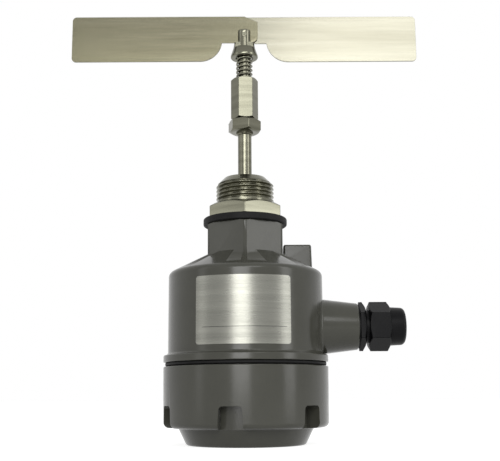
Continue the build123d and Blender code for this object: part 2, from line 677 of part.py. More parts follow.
def paddle_spindle():
    """Slotted spindle that carries the blades on a cross pin."""
    neck_high = collar_low + 2.0
    points = [(0, spindle_low), (SPINDLE_RADIUS - 0.6, spindle_low), (SPINDLE_RADIUS, spindle_low + 0.6)]
    points += [(SPINDLE_RADIUS, coupling_top), (SPINDLE_NECK_RADIUS, coupling_top)]
    points += [(SPINDLE_NECK_RADIUS, neck_high), (SPINDLE_RADIUS, neck_high + 0.4)]
    points += [(SPINDLE_RADIUS, spindle_top), (0, spindle_top)]
    spindle = turned(points, [((SPINDLE_RADIUS, spindle_top), 0.9)])
    slot_low = pin_height - BLADE_HEEL - 1.8
    slot = Box(3 * SPINDLE_RADIUS, 2 * slot_half_width(), spindle_top - slot_low + 1, align=UP)
    spindle -= Pos(0, 0, slot_low) * slot
    return spindle - Pos(0, 0, pin_height) * Rot(90, 0, 0) * Cylinder(PIN_RADIUS, 3 * SPINDLE_RADIUS)


def pivot_pin():
    """Cross pin with slightly domed ends."""
    half = SPINDLE_RADIUS + PIN_HEAD
    points = [(0, -half), (PIN_RADIUS, -half), (PIN_RADIUS, half), (0, half)]
    pin = turned(points, [((PIN_RADIUS, -half), 0.4), ((PIN_RADIUS, half), 0.4)])
    return Pos(0, 0, pin_height) * Rot(90, 0, 0) * pin


def spring_collar():
    """Bell-shaped collar: its two ears hold the blades level, its hollow foot takes the spring."""
    ear_low = collar_top - COLLAR_EAR_HEIGHT
    cup = SPRING_RADIUS + SPRING_WIRE / 2 + GAP
    bore = SPINDLE_RADIUS + SLIP
    waist = COLLAR_SHOULDER_RADIUS + 0.5
    points = [(cup, collar_low), (COLLAR_RADIUS, collar_low), (COLLAR_RADIUS, collar_low + COLLAR_RIM)]
    points += [(waist, ear_low - COLLAR_RIM), (COLLAR_SHOULDER_RADIUS, ear_low)]
    points += [(COLLAR_TOP_RADIUS, collar_top), (bore, collar_top), (bore, cup_top), (cup, cup_top)]
    rounds = [((COLLAR_RADIUS, collar_low), 0.6), ((COLLAR_RADIUS, collar_low + COLLAR_RIM), 1.0)]
    collar = turned(points, rounds)
    side = Box(4 * COLLAR_RADIUS, 2 * COLLAR_RADIUS, 2 * COLLAR_EAR_HEIGHT, align=UP)
    reach = COLLAR_RADIUS + COLLAR_EAR_WIDTH / 2
    for y in (-reach, reach):
        collar -= Pos(0, y, ear_low) * side
    return collar


def coil(radius, wire, pitch, turns):
    """Round wire wound up +Z from the origin's level."""
    path = Helix(pitch, pitch * turns, radius)
    section = Plane(origin=path @ 0, z_dir=path % 0) * Circle(wire / 2)
    return sweep(section, path, is_frenet=True)


def collar_spring():
    """Compression spring between the coupling and the collar."""
    half = SPRING_WIRE / 2
    low, high = coupling_top + half + 0.05, cup_top - half - 0.05
    return Pos(0, 0, low) * coil(SPRING_RADIUS, SPRING_WIRE, (high - low) / SPRING_TURNS, SPRING_TURNS)


def blade(side):
    """One flat blade: heel, seat on the collar, big rounded root corner and rounded outer corners."""
    low, high, seat = -BLADE_LOW, BLADE_HIGH, -BLADE_SEAT
    arc_rise = BLADE_ARC + low - seat
    arc_end = BLADE_ARC_START - sqrt(BLADE_ARC**2 - arc_rise**2)
    turn = radians(45 + degrees(asin(arc_rise / BLADE_ARC)) / 2)
    arc_middle = (-BLADE_ARC_START + BLADE_ARC * cos(turn), low + BLADE_ARC - BLADE_ARC * sin(turn))
    edge = Polyline((-BLADE_ARC_START, low), (-BLADE_REACH, low), (-BLADE_REACH, high),
                    (BLADE_HEEL - HEEL_CHAMFER_RUN, high), (BLADE_HEEL, high - HEEL_CHAMFER_DROP),
                    (BLADE_HEEL, seat), (-arc_end, seat))
    edge += ThreePointArc((-arc_end, seat), arc_middle, (-BLADE_ARC_START, low))
    face = make_face(edge)
    outer = face.vertices().group_by(Axis.X)[0]
    face = fillet(outer, BLADE_CORNER)
    heel = face.vertices().sort_by_distance(Vector(BLADE_HEEL, seat, 0))[0]
    face = fillet(heel, BLADE_SEAT - 0.05)
    face -= Circle(PIN_RADIUS + SLIP)
    plate = extrude(Plane.XZ * face, BLADE_THICKNESS)
    left = Pos(0, -BLADE_SIDE_GAP / 2, pin_height) * plate
    return left if side == "left" else around(left, 180)


def chassis_plate():
    """Steel plate under the ceiling that carries the works."""
    plate = rod(chassis_radius, chassis_low, chassis_high)
    plate -= rod(BUSH_RADIUS + RUNNING, chassis_low, chassis_high)
    holes = [(CHASSIS_SCREW_RADIUS, boss_circle, angle) for angle in BOSS_ANGLES]
    holes += [(PILLAR_SCREW_RADIUS, standoff_circle, angle) for angle in STANDOFF_ANGLES]
    holes += [(POST_RADIUS, post_circle, POST_ANGLE), (STOP_RADIUS, stop_circle, STOP_ANGLE)]
    holes.append((WIRE_HOLE_RADIUS, boss_circle - WIRE_HOLE_RADIUS, 0))
    for radius, circle, angle in holes:
        plate -= rod(radius, chassis_low, chassis_high, *spot(circle, angle))
    for angle in switch_angles.values():
        for y in (-SWITCH_SCREW_SPREAD / 2, SWITCH_SCREW_SPREAD / 2):
            hole = rod(SWITCH_SCREW_RADIUS, chassis_low, chassis_high, switch_screw_x(), y)
            plate -= around(hole, angle)
    return plate


def pan_screw(radius, head_radius, head_height, seat, tip):
    """Upright screw with its head below its seat."""
    return rod(head_radius, seat - head_height, seat) + rod(radius, seat, tip)


def chassis_screws():
    """Pan screws that hold the chassis plate to the housing's bosses."""
    tip = chassis_high + SCREW_GRIP
    screw = pan_screw(CHASSIS_SCREW_RADIUS, CHASSIS_HEAD_RADIUS, CHASSIS_HEAD_HEIGHT, chassis_low, tip)
    return [Pos(*spot(boss_circle, angle), 0) * screw for angle in BOSS_ANGLES]


def board_standoffs():
    """Hexagonal pillars between the chassis plate and the terminal board."""
    pillar = hexagon(STANDOFF_HEX, board_high, chassis_low)
    pillar += rod(PILLAR_SCREW_RADIUS, chassis_low, chassis_high)
    pillar -= rod(PILLAR_SCREW_RADIUS, board_high, board_high + STANDOFF_HEX + 1)
    return [Pos(*spot(standoff_circle, angle), 0) * pillar for angle in STANDOFF_ANGLES]


def board_screws():
    """Screws that hold the terminal board to its pillars."""
    tip = board_high + STANDOFF_HEX
    screw = pan_screw(PILLAR_SCREW_RADIUS, PILLAR_HEAD_RADIUS, PILLAR_HEAD_HEIGHT, board_low, tip)
    return [Pos(*spot(standoff_circle, angle), 0) * screw for angle in STANDOFF_ANGLES]


def terminal_board():
    """Round circuit board with a window for the cable's cores."""
    board = rod(board_radius, board_low, board_high)
    board -= rod(BOARD_WINDOW_RADIUS, board_low, board_high, board_radius)
    for angle in STANDOFF_ANGLES:
        board -= rod(PILLAR_SCREW_RADIUS, board_low, board_high, *spot(standoff_circle, angle))
    return board


def terminal_places():
    """X and Y of every pole of the two terminal rows."""
    first = TERMINAL_ROW_X - TERMINAL_PITCH * (TERMINAL_POLES - 1) / 2
    rows = (-terminal_row_y, terminal_row_y)
    return [(first + n * TERMINAL_PITCH, y) for y in rows for n in range(TERMINAL_POLES)]


def terminal_blocks():
    """Two rows of screw terminals on the side of the board that faces the cover."""
    low = board_low - TERMINAL_HEIGHT
    length = TERMINAL_PITCH * TERMINAL_POLES
    blocks = []
    for y in (-terminal_row_y, terminal_row_y):
        block = Pos(TERMINAL_ROW_X, y, low) * Box(length, TERMINAL_DEPTH, TERMINAL_HEIGHT, align=UP)
        outward = 1 if y > 0 else -1
        for x, row in terminal_places():
            if row == y:
                block -= rod(TERMINAL_WELL_RADIUS, low, low + TERMINAL_WELL_DEPTH, x, y)
                mouth = Box(TERMINAL_MOUTH_WIDTH, TERMINAL_DEPTH / 2, TERMINAL_MOUTH_HEIGHT, align=UP)
                block -= Pos(x, y + outward * TERMINAL_DEPTH / 2, low + 2.5) * mouth
        blocks.append(block)
    return blocks


def terminal_screws():
    """Clamping screws of the terminals, slotted."""
    low = board_low - TERMINAL_HEIGHT + TERMINAL_SCREW_DROP
    screw = rod(TERMINAL_SCREW_RADIUS, low, board_low - TERMINAL_HEIGHT + TERMINAL_WELL_DEPTH)
    slot = Box(3 * TERMINAL_SCREW_RADIUS, TERMINAL_SCREW_SLOT, TERMINAL_SCREW_SLOT, align=UP)
    screw -= Pos(0, 0, low) * slot
    return [Pos(x, y, 0) * screw for x, y in terminal_places()]


def earth_screw():
    """Pan screw on the housing's earth pad."""
    pad_end = cavity_radius - EARTH_PAD
    height = board_high + EARTH_HEIGHT - BOARD_THICKNESS
    tip = cavity_radius + EARTH_PAD
    screw = pan_screw(EARTH_SCREW_RADIUS, EARTH_HEAD_RADIUS, EARTH_HEAD_HEIGHT, pad_end, tip)
    return around(Pos(0, 0, height) * Rot(0, 90, 0) * screw, EARTH_ANGLE)


def swing_bushing():
    """Flanged bush that hangs the swing plate from the chassis plate and lets it turn."""
    bush = rod(BUSH_FLANGE_RADIUS, bush_flange_low, bush_top) + rod(BUSH_RADIUS, swing_high, bush_flange_low)
    bush += rod(BUSH_SPIGOT_RADIUS, swing_low, swing_high)
    return bush - rod(BUSH_BORE_RADIUS, swing_low, bush_top)


def arm(reach, width, angle):
    """Round-ended arm from the axis outwards, as a flat shape."""
    shape = Pos(reach / 2, 0) * Rectangle(reach, width) + Pos(reach, 0) * Circle(width / 2)
    return Rot(0, 0, angle) * shape


def swing_plate():
    """Plate that carries the motor: two ears, two cam noses, a spring arm and a stop slot."""
    outline = Circle(swing_radius) + arm(hook_circle, HOOK_ARM, HOOK_ANGLE)
    for angle in MOTOR_EAR_ANGLES:
        outline += arm(motor_ear_circle, MOTOR_EAR_WIDTH, angle)
    for angle in switch_angles.values():
        outline += arm(nose_circle, 2 * NOSE_TIP_RADIUS, angle - nose_lead)
    plate = Pos(0, 0, swing_low) * extrude(outline, PLATE_THICKNESS)
    plate -= rod(BUSH_SPIGOT_RADIUS, swing_low, swing_high)
    plate -= rod(HOOK_RADIUS, swing_low, swing_high, *spot(hook_circle, HOOK_ANGLE))
    for angle in MOTOR_EAR_ANGLES:
        plate -= rod(MOTOR_SCREW_RADIUS, swing_low, swing_high, *spot(motor_ear_circle, angle))
    return plate - stop_slot()


def stop_slot():
    """Curved slot that the stop pin stands in."""
    half = STOP_RADIUS + GAP
    ring = rod(stop_circle + half, swing_low, swing_high) - rod(stop_circle - half, swing_low, swing_high)
    wedge = make_face(Polyline((0, 0), (60, 0), (60, 60 * tan(radians(SWING_RANGE))), close=True))
    band = ring & Pos(0, 0, swing_low) * Rot(0, 0, STOP_ANGLE - SWING_RANGE) * extrude(wedge, PLATE_THICKNESS)
    for angle in (STOP_ANGLE - SWING_RANGE, STOP_ANGLE):
        band += rod(half, swing_low, swing_high, *spot(stop_circle, angle))
    return band


def stop_pin():
    """Pin in the chassis plate that ends the swing both ways."""
    return rod(STOP_RADIUS, swing_low + GAP, chassis_high, *spot(stop_circle, STOP_ANGLE))


def gear_case():
    """Lid of the geared motor with its two fixing ears."""
    outline = Circle(gear_case_radius)
    for angle in MOTOR_EAR_ANGLES:
        outline += arm(motor_ear_circle, MOTOR_EAR_WIDTH, angle)
    case = Pos(0, 0, gear_case_low) * extrude(outline, GEAR_CASE_THICKNESS)
    case -= rod(MOTOR_SHAFT_RADIUS + RUNNING, gear_case_low, swing_low)
    for angle in MOTOR_EAR_ANGLES:
        case -= rod(MOTOR_SCREW_RADIUS, gear_case_low, swing_low, *spot(motor_ear_circle, angle))
    return case


def motor_case():
    """Drum of the slow synchronous motor."""
    rim, foot = motor_radius, motor_low
    points = [(0, foot - MOTOR_HUB), (MOTOR_HUB_RADIUS, foot - MOTOR_HUB), (MOTOR_HUB_RADIUS, foot)]
    points += [(rim, foot), (rim, gear_case_low), (0, gear_case_low)]
    drum = turned(points, [((rim, foot), 1.5), ((rim, gear_case_low), 0.6)])
    return drum - rod(MOTOR_SHAFT_RADIUS + GAP, gear_case_low - MOTOR_SHAFT_DEPTH - GAP, gear_case_low)


def motor_screws():
    """Screws through the motor's ears into the swing plate."""
    screw = pan_screw(MOTOR_SCREW_RADIUS, MOTOR_HEAD_RADIUS, MOTOR_HEAD_HEIGHT, gear_case_low, swing_high)
    return [Pos(*spot(motor_ear_circle, angle), 0) * screw for angle in MOTOR_EAR_ANGLES]


def motor_shaft():
    """The motor's own output shaft, up into the coupler."""
    return rod(MOTOR_SHAFT_RADIUS, gear_case_low - MOTOR_SHAFT_DEPTH, shaft_split)


def drive_coupler():
    """Sleeve that joins the motor's shaft and the main shaft."""
    high = coupler_low + COUPLER_LENGTH
    sleeve = rod(COUPLER_RADIUS, coupler_low, high) - rod(MOTOR_SHAFT_RADIUS, coupler_low, shaft_split)
    sleeve -= rod(SHAFT_RADIUS, shaft_split, high)
    for height in coupler_screw_levels():
        sleeve -= Pos(0, 0, height) * Rot(0, 90, 0) * rod(SET_SCREW_RADIUS, 0, COUPLER_RADIUS)
    return sleeve


def coupler_screw_levels():
    """Heights of the coupler's two set screws."""
    return coupler_low + COUPLER_LENGTH / 4, coupler_low + COUPLER_LENGTH * 3 / 4


def coupler_screws():
    """Set screws that grip the two shafts."""
    screws = []
    for height, shaft in zip(coupler_screw_levels(), (MOTOR_SHAFT_RADIUS, SHAFT_RADIUS)):
        screws.append(Pos(0, 0, height) * Rot(0, 90, 0) * rod(SET_SCREW_RADIUS, shaft, COUPLER_RADIUS - 0.4))
    return screws


def spring_post():
    """Fixed post of the return spring."""
    return rod(POST_RADIUS, post_low, chassis_high, *spot(post_circle, POST_ANGLE))


def spring_hook_pin():
    """Pin of the return spring on the swing plate's arm."""
    return rod(HOOK_RADIUS, post_low, swing_high, *spot(hook_circle, HOOK_ANGLE))


def return_spring():
    """Extension spring that draws the swing plate back to its rest stop, with an eye at each end."""
    start = Vector(*spot(post_circle, POST_ANGLE), swing_low - RETURN_SPRING_DEPTH)
    end = Vector(*spot(hook_circle, HOOK_ANGLE), swing_low - RETURN_SPRING_DEPTH)
    span = end - start
    eye = RETURN_LOOP + RETURN_SPRING_WIRE / 2
    length = span.length - 2 * eye - 0.2
    turns = int(length / (RETURN_SPRING_WIRE * 1.3))
    wire = coil(RETURN_SPRING_RADIUS, RETURN_SPRING_WIRE, length / turns, turns)
    winding = Plane(origin=start + span.normalized() * (eye + 0.1), z_dir=span) * wire
    loop = Torus(RETURN_LOOP, RETURN_SPRING_WIRE / 2)
    return [winding, Pos(start) * loop, Pos(end) * loop]


def switch_screw_x():
    """Distance of a limit switch's screws from the main axis."""
    return switch_circle + SWITCH_DEPTH - SWITCH_SCREW_INSET


def switch_case(name):
    """Moulded case of a limit switch with its two lever cheeks."""
    low, mid = chassis_low - SWITCH_THICKNESS, chassis_low - SWITCH_THICKNESS / 2
    block = Box(SWITCH_DEPTH, SWITCH_LENGTH, SWITCH_THICKNESS, align=UP)
    block = fillet(block.edges().filter_by(Axis.Z), SWITCH_CORNER)
    case = Pos(switch_circle + SWITCH_DEPTH / 2, 0, low) * block
    cheek_thickness = (SWITCH_THICKNESS - LEVER_WIDTH) / 2 - GAP
    cheek = Rectangle(CHEEK_DEPTH, CHEEK_WIDTH)
    cheek = Pos(switch_circle + SWITCH_CORNER - CHEEK_DEPTH / 2, LEVER_PIVOT_Y) * cheek
    case += Pos(0, 0, low) * extrude(cheek, cheek_thickness)
    case += Pos(0, 0, chassis_low - cheek_thickness) * extrude(cheek, cheek_thickness)
    case += rod(LEVER_PIN_RADIUS, low, chassis_low, lever_pivot, LEVER_PIVOT_Y)
    bore = Pos(switch_circle, PLUNGER_Y, mid) * Rot(0, 90, 0)
    case -= bore * rod(PLUNGER_RADIUS + RUNNING, -1, PLUNGER_LENGTH + PLUNGER_ROOM)
    for y in (-SWITCH_SCREW_SPREAD / 2, SWITCH_SCREW_SPREAD / 2):
        case -= rod(SWITCH_SCREW_RADIUS, low, chassis_low, switch_screw_x(), y)
    return around(case, switch_angles[name])


def switch_plunger(name):
    """Button that the lever presses into the switch."""
    mid = chassis_low - SWITCH_THICKNESS / 2
    points = [(0, -plunger_out), (PLUNGER_RADIUS, -plunger_out), (PLUNGER_RADIUS, PLUNGER_LENGTH)]
    points.append((0, PLUNGER_LENGTH))
    button = turned(points, [((PLUNGER_RADIUS, -plunger_out), 0.3)])
    return around(Pos(switch_circle, PLUNGER_Y, mid) * Rot(0, 90, 0) * button, switch_angles[name])


def switch_lever(name):
    """Sprung lever hinged at one end of the switch, tilted towards the cam nose."""
    low = chassis_low - (SWITCH_THICKNESS + LEVER_WIDTH) / 2
    strip = Pos(0, -LEVER_LENGTH / 2) * Rectangle(LEVER_SHEET, LEVER_LENGTH) + Circle(LEVER_EYE_RADIUS)
    strip -= Circle(LEVER_PIN_RADIUS + RUNNING)
    lever = Pos(0, 0, low) * Rot(0, 0, -LEVER_TILT) * extrude(strip, LEVER_WIDTH)
    return around(Pos(lever_pivot, LEVER_PIVOT_Y, 0) * lever, switch_angles[name])


def switch_screws():
    """Screws that hang the two limit switches from the chassis plate."""
    seat = chassis_low - SWITCH_THICKNESS
    screw = pan_screw(SWITCH_SCREW_RADIUS, SWITCH_HEAD_RADIUS, SWITCH_HEAD_HEIGHT, seat, chassis_high)
    spots = [(angle, y) for angle in switch_angles.values() for y in (-0.5, 0.5)]
    return [around(Pos(switch_screw_x(), y * SWITCH_SCREW_SPREAD, 0) * screw, angle) for angle, y in spots]


def switch_tags():
    """Solder tags on the backs of the two limit switches."""
    start = switch_circle + SWITCH_DEPTH
    mid = chassis_low - SWITCH_THICKNESS / 2
    tag = Box(SWITCH_TAG_LENGTH, SWITCH_TAG_THICKNESS, SWITCH_TAG_WIDTH)
    tag = Pos(start + SWITCH_TAG_LENGTH / 2, 0, mid) * tag
    spots = [(angle, n * SWITCH_SCREW_SPREAD / 2) for angle in switch_angles.values() for n in (-1, 0, 1)]
    return [around(Pos(0, y, 0) * tag, angle) for angle, y in spots]


def pieces():
    """Every separate piece of the switch under its own name."""
    upper = bearing_high - BEARING_WIDTH
    made = {
        "cover": cover(), "cover_seal": cover_seal(), "housing": housing(), "name_plate": name_plate(),
        "gland_washer": gland_washer(), "gland_body": gland_body(),
        "gland_insert": gland_insert(), "gland_nut": gland_nut(),
        "process_gasket": process_gasket(), "process_nipple": process_nipple(),
        "upper_bearing_outer": bearing_outer(upper), "upper_bearing_inner": bearing_inner(upper),
        "upper_bearing_balls": bearing_balls(upper), "lower_bearing_outer": bearing_outer(lower_bearing_low),
        "lower_bearing_inner": bearing_inner(lower_bearing_low),
        "lower_bearing_balls": bearing_balls(lower_bearing_low),
        "bearing_spacer": bearing_spacer(), "bearing_circlip": bearing_circlip(), "shaft_seal": shaft_seal(),
        "main_shaft": main_shaft(), "shaft_circlips": shaft_circlips(), "lock_nut": lock_nut(),
        "coupling_nut": coupling_nut(), "paddle_spindle": paddle_spindle(), "pivot_pin": pivot_pin(),
        "spring_collar": spring_collar(), "collar_spring": collar_spring(),
        "left_blade": blade("left"), "right_blade": blade("right"),
        "chassis_plate": chassis_plate(), "chassis_screws": chassis_screws(),
        "board_standoffs": board_standoffs(), "board_screws": board_screws(),
        "terminal_board": terminal_board(), "terminal_blocks": terminal_blocks(),
        "terminal_screws": terminal_screws(), "earth_screw": earth_screw(),
        "swing_bushing": swing_bushing(), "swing_plate": swing_plate(), "stop_pin": stop_pin(),
        "gear_case": gear_case(), "motor_case": motor_case(), "motor_screws": motor_screws(),
        "motor_shaft": motor_shaft(), "drive_coupler": drive_coupler(), "coupler_screws": coupler_screws(),
        "spring_post": spring_post(), "spring_hook_pin": spring_hook_pin(), "return_spring": return_spring(),
        "switch_screws": switch_screws(), "switch_tags": switch_tags(),
    }
    for name in switch_angles:
        made[name + "_switch_case"] = switch_case(name)
        made[name + "_switch_plunger"] = switch_plunger(name)
        made[name + "_switch_lever"] = switch_lever(name)
    return made


os.makedirs("parts", exist_ok=True)
for node, solids in pieces().items():
    shape = Compound(children=solids) if isinstance(solids, list) else solids
    export_step(shape, f"parts/{node}.step")
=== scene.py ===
import json
from math import atan2, cos, pi, radians, sin, sqrt, tan

import bpy
from mathutils import Matrix, Vector


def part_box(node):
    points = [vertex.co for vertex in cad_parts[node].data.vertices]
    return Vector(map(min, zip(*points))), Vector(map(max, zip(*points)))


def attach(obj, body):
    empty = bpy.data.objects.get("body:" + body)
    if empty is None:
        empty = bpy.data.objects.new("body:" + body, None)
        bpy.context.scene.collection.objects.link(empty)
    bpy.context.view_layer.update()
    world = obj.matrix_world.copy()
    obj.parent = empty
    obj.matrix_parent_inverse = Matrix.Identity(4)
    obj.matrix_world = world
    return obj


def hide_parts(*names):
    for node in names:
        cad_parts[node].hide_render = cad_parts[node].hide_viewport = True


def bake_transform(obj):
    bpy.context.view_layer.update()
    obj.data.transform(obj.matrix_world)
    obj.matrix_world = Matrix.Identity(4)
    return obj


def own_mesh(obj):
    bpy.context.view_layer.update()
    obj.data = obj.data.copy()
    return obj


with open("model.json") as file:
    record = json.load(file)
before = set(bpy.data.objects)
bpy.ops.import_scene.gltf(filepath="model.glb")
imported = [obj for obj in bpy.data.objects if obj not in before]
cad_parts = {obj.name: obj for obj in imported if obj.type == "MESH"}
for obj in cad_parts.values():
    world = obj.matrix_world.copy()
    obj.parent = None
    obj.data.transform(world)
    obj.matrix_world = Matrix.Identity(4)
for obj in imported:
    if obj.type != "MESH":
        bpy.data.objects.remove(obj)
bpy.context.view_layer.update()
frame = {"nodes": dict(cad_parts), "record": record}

# Camera and studio. The camera stands low in front of the switch and looks slightly up at it,
# as in the photograph; a pale floor, a white surround and soft lamps make a plain studio.
photo_width = 500
focal_pixels = 883
camera_place = (0.0022, -0.5, 0.0265)
camera_pitch = radians(100.6)
camera_roll = radians(0.35)
bpy.ops.object.camera_add(location=camera_place, rotation=(camera_pitch, camera_roll, 0))
camera = bpy.context.object
camera.data.lens = focal_pixels / photo_width * camera.data.sensor_width
camera.data.clip_start = 0.01
bpy.context.scene.camera = camera
bpy.context.scene.view_settings.view_transform = "Standard"


def seen_as_backdrop(tree, lit, plain):
    """Camera, glossy and see-through rays meet the plain backdrop, all others the lit surface."""
    rays = tree.nodes.new("ShaderNodeLightPath")
    first = tree.nodes.new("ShaderNodeMath")
    second = tree.nodes.new("ShaderNodeMath")
    first.operation = second.operation = "MAXIMUM"
    tree.links.new(rays.outputs["Is Camera Ray"], first.inputs[0])
    tree.links.new(rays.outputs["Is Glossy Ray"], first.inputs[1])
    tree.links.new(first.outputs[0], second.inputs[0])
    tree.links.new(rays.outputs["Is Transmission Ray"], second.inputs[1])
    mix = tree.nodes.new("ShaderNodeMixShader")
    tree.links.new(second.outputs[0], mix.inputs[0])
    tree.links.new(lit.outputs[0], mix.inputs[1])
    tree.links.new(plain.outputs[0], mix.inputs[2])
    return mix.outputs[0]


surround = bpy.data.worlds.new("surround")
bpy.context.scene.world = surround
surround.use_nodes = True
ambient = surround.node_tree.nodes["Background"]
ambient.inputs["Color"].default_value = (1, 1, 1, 1)
ambient.inputs["Strength"].default_value = 0.4
backdrop = surround.node_tree.nodes.new("ShaderNodeBackground")
backdrop.inputs["Color"].default_value = (1, 1, 1, 1)
backdrop.inputs["Strength"].default_value = 1.0
surround.node_tree.links.new(seen_as_backdrop(surround.node_tree, ambient, backdrop),
                             surround.node_tree.nodes["World Output"].inputs["Surface"])

bpy.ops.object.select_all(action="DESELECT")
bpy.ops.mesh.primitive_plane_add(size=8, location=(0, 0, 0))
floor = bpy.context.object
floor.name = "floor"
floor_paint = bpy.data.materials.new("floor_paint")
floor_paint.use_nodes = True
floor_tree = floor_paint.node_tree
floor_shader = floor_tree.nodes["Principled BSDF"]
floor_shader.inputs["Base Color"].default_value = (0.55, 0.55, 0.54, 1)
floor_shader.inputs["Roughness"].default_value = 0.9
floor_glow = floor_tree.nodes.new("ShaderNodeEmission")
floor_glow.inputs["Strength"].default_value = 0.8
floor_sum = floor_tree.nodes.new("ShaderNodeAddShader")
floor_tree.links.new(floor_shader.outputs[0], floor_sum.inputs[0])
floor_tree.links.new(floor_glow.outputs[0], floor_sum.inputs[1])
floor_tree.links.new(seen_as_backdrop(floor_tree, floor_shader, floor_sum),
                     floor_tree.nodes["Material Output"].inputs["Surface"])
floor.data.materials.append(floor_paint)


def softbox(name, place, target, width, height, glow):
    """A rectangular softbox that shines at a point of the switch; glow is its surface brightness."""
    bpy.ops.object.light_add(type="AREA", location=place)
    light = bpy.context.object
    light.name = name
    light.data.shape = "RECTANGLE"
    light.data.size = width
    light.data.size_y = height
    light.data.energy = glow * pi * width * height
    light.rotation_euler = (Vector(target) - Vector(place)).to_track_quat("-Z", "Y").to_euler()


softbox("softbox_front", (-0.11, -1.05, 0.30), (0, 0, 0.12), width=0.44, height=0.56, glow=6.4)
softbox("softbox_high", (0.26, -1.05, 0.64), (0, 0, 0.20), width=0.42, height=0.34, glow=3.8)
softbox("softbox_right", (0.90, -0.50, 0.35), (0, 0, 0.14), width=0.30, height=0.80, glow=3.4)
softbox("softbox_left", (-0.95, -0.45, 0.35), (0, 0, 0.14), width=0.22, height=0.80, glow=1.1)


# Cover. A die-cast cap with a flat nose and a skirt with six finger notches, in glossy grey enamel;
# it screws over the housing's spigot and the switch stands on it.
grains_per_cloud, relief_depth = 6, 0.0002


def finish(name, dark, light, metallic, roughness, grain, bump, stretch=(1, 1, 1), spread=0.06, ior=1.45):
    """A surface finish: two close tints in broad clouds, and a fine grain in gloss and relief."""
    material = bpy.data.materials.new(name)
    material.use_nodes = True
    tree = material.node_tree
    shader = tree.nodes["Principled BSDF"]
    shader.inputs["Metallic"].default_value = metallic
    shader.inputs["IOR"].default_value = ior
    spot = tree.nodes.new("ShaderNodeTexCoord").outputs["Object"]
    mapping = tree.nodes.new("ShaderNodeMapping")
    mapping.inputs["Scale"].default_value = stretch
    tree.links.new(spot, mapping.inputs["Vector"])
    cloud, grains = tree.nodes.new("ShaderNodeTexNoise"), tree.nodes.new("ShaderNodeTexNoise")
    cloud.inputs["Scale"].default_value = grain / grains_per_cloud
    grains.inputs["Scale"].default_value = grain
    cloud.inputs["Detail"].default_value = grains.inputs["Detail"].default_value = 4.0
    tree.links.new(mapping.outputs[0], cloud.inputs["Vector"])
    tree.links.new(mapping.outputs[0], grains.inputs["Vector"])
    tint = tree.nodes.new("ShaderNodeValToRGB")
    tint.color_ramp.elements[0].position = 0.35
    tint.color_ramp.elements[0].color = (*dark, 1)
    tint.color_ramp.elements[1].position = 0.65
    tint.color_ramp.elements[1].color = (*light, 1)
    tree.links.new(cloud.outputs["Fac"], tint.inputs["Fac"])
    tree.links.new(tint.outputs["Color"], shader.inputs["Base Color"])
    gloss = tree.nodes.new("ShaderNodeMapRange")
    gloss.inputs["To Min"].default_value = max(roughness - spread, 0.02)
    gloss.inputs["To Max"].default_value = roughness + spread
    tree.links.new(grains.outputs["Fac"], gloss.inputs["Value"])
    tree.links.new(gloss.outputs[0], shader.inputs["Roughness"])
    relief = tree.nodes.new("ShaderNodeBump")
    relief.inputs["Strength"].default_value = bump
    relief.inputs["Distance"].default_value = relief_depth
    tree.links.new(grains.outputs["Fac"], relief.inputs["Height"])
    tree.links.new(relief.outputs[0], shader.inputs["Normal"])
    return material


def eased(corners, steps=6):
    """A turned profile from (radius, height, rounding) corners, each rounding drawn as an arc."""
    line = []
    for n, (radius, height, ease) in enumerate(corners):
        here = Vector((radius, height))
        if not ease:
            line.append((radius, height))
            continue
        before = (Vector(corners[n - 1][:2]) - here).normalized()
        after = (Vector(corners[(n + 1) % len(corners)][:2]) - here).normalized()
        half = before.angle(after) / 2
        centre = here + (before + after).normalized() * ease / sin(half)
        start = here + before * ease / tan(half) - centre
        end = here + after * ease / tan(half) - centre
        sweep = atan2(start.cross(end), start.dot(end))
        for k in range(steps + 1):
            spoke = Matrix.Rotation(sweep * k / steps, 2) @ start
            line.append(tuple(centre + spoke))
    return line


def lathe(name, corners, segments=144, bored=False):
    """A turned piece: a disc or ring is added, then extruded and resized along its profile."""
    profile = eased(corners)
    if bored:
        profile.append(profile[0])
    radius, height = profile[0]
    fill = "NOTHING" if bored else "NGON"
    bpy.ops.object.select_all(action="DESELECT")
    bpy.ops.mesh.primitive_circle_add(vertices=segments, radius=radius, fill_type=fill,
                                      location=(0, 0, height))
    piece = bpy.context.object
    piece.name = name
    bpy.ops.object.transform_apply(location=True, rotation=True, scale=True)
    bpy.ops.object.mode_set(mode="EDIT")
    bpy.ops.mesh.select_all(action="SELECT")
    for (r0, z0), (r1, z1) in zip(profile, profile[1:]):
        bpy.ops.mesh.extrude_region_move(TRANSFORM_OT_translate={"value": (0, 0, z1 - z0)})
        bpy.ops.transform.resize(value=(r1 / r0, r1 / r0, 1), center_override=(0, 0, z1))
    bpy.ops.mesh.select_all(action="SELECT")
    bpy.ops.mesh.remove_doubles(threshold=1e-7)
    bpy.ops.mesh.normals_make_consistent(inside=False)
    bpy.ops.object.mode_set(mode="OBJECT")
    return piece


def combine(piece, tool, operation):
    """Joins, cuts or trims a solid with another one, which is then thrown away."""
    modifier = piece.modifiers.new("combine", "BOOLEAN")
    modifier.operation = operation
    modifier.solver = "EXACT"
    modifier.object = tool
    bpy.ops.object.select_all(action="DESELECT")
    bpy.context.view_layer.objects.active = piece
    piece.select_set(True)
    bpy.ops.object.modifier_apply(modifier=modifier.name)
    bpy.data.objects.remove(tool)
    return piece


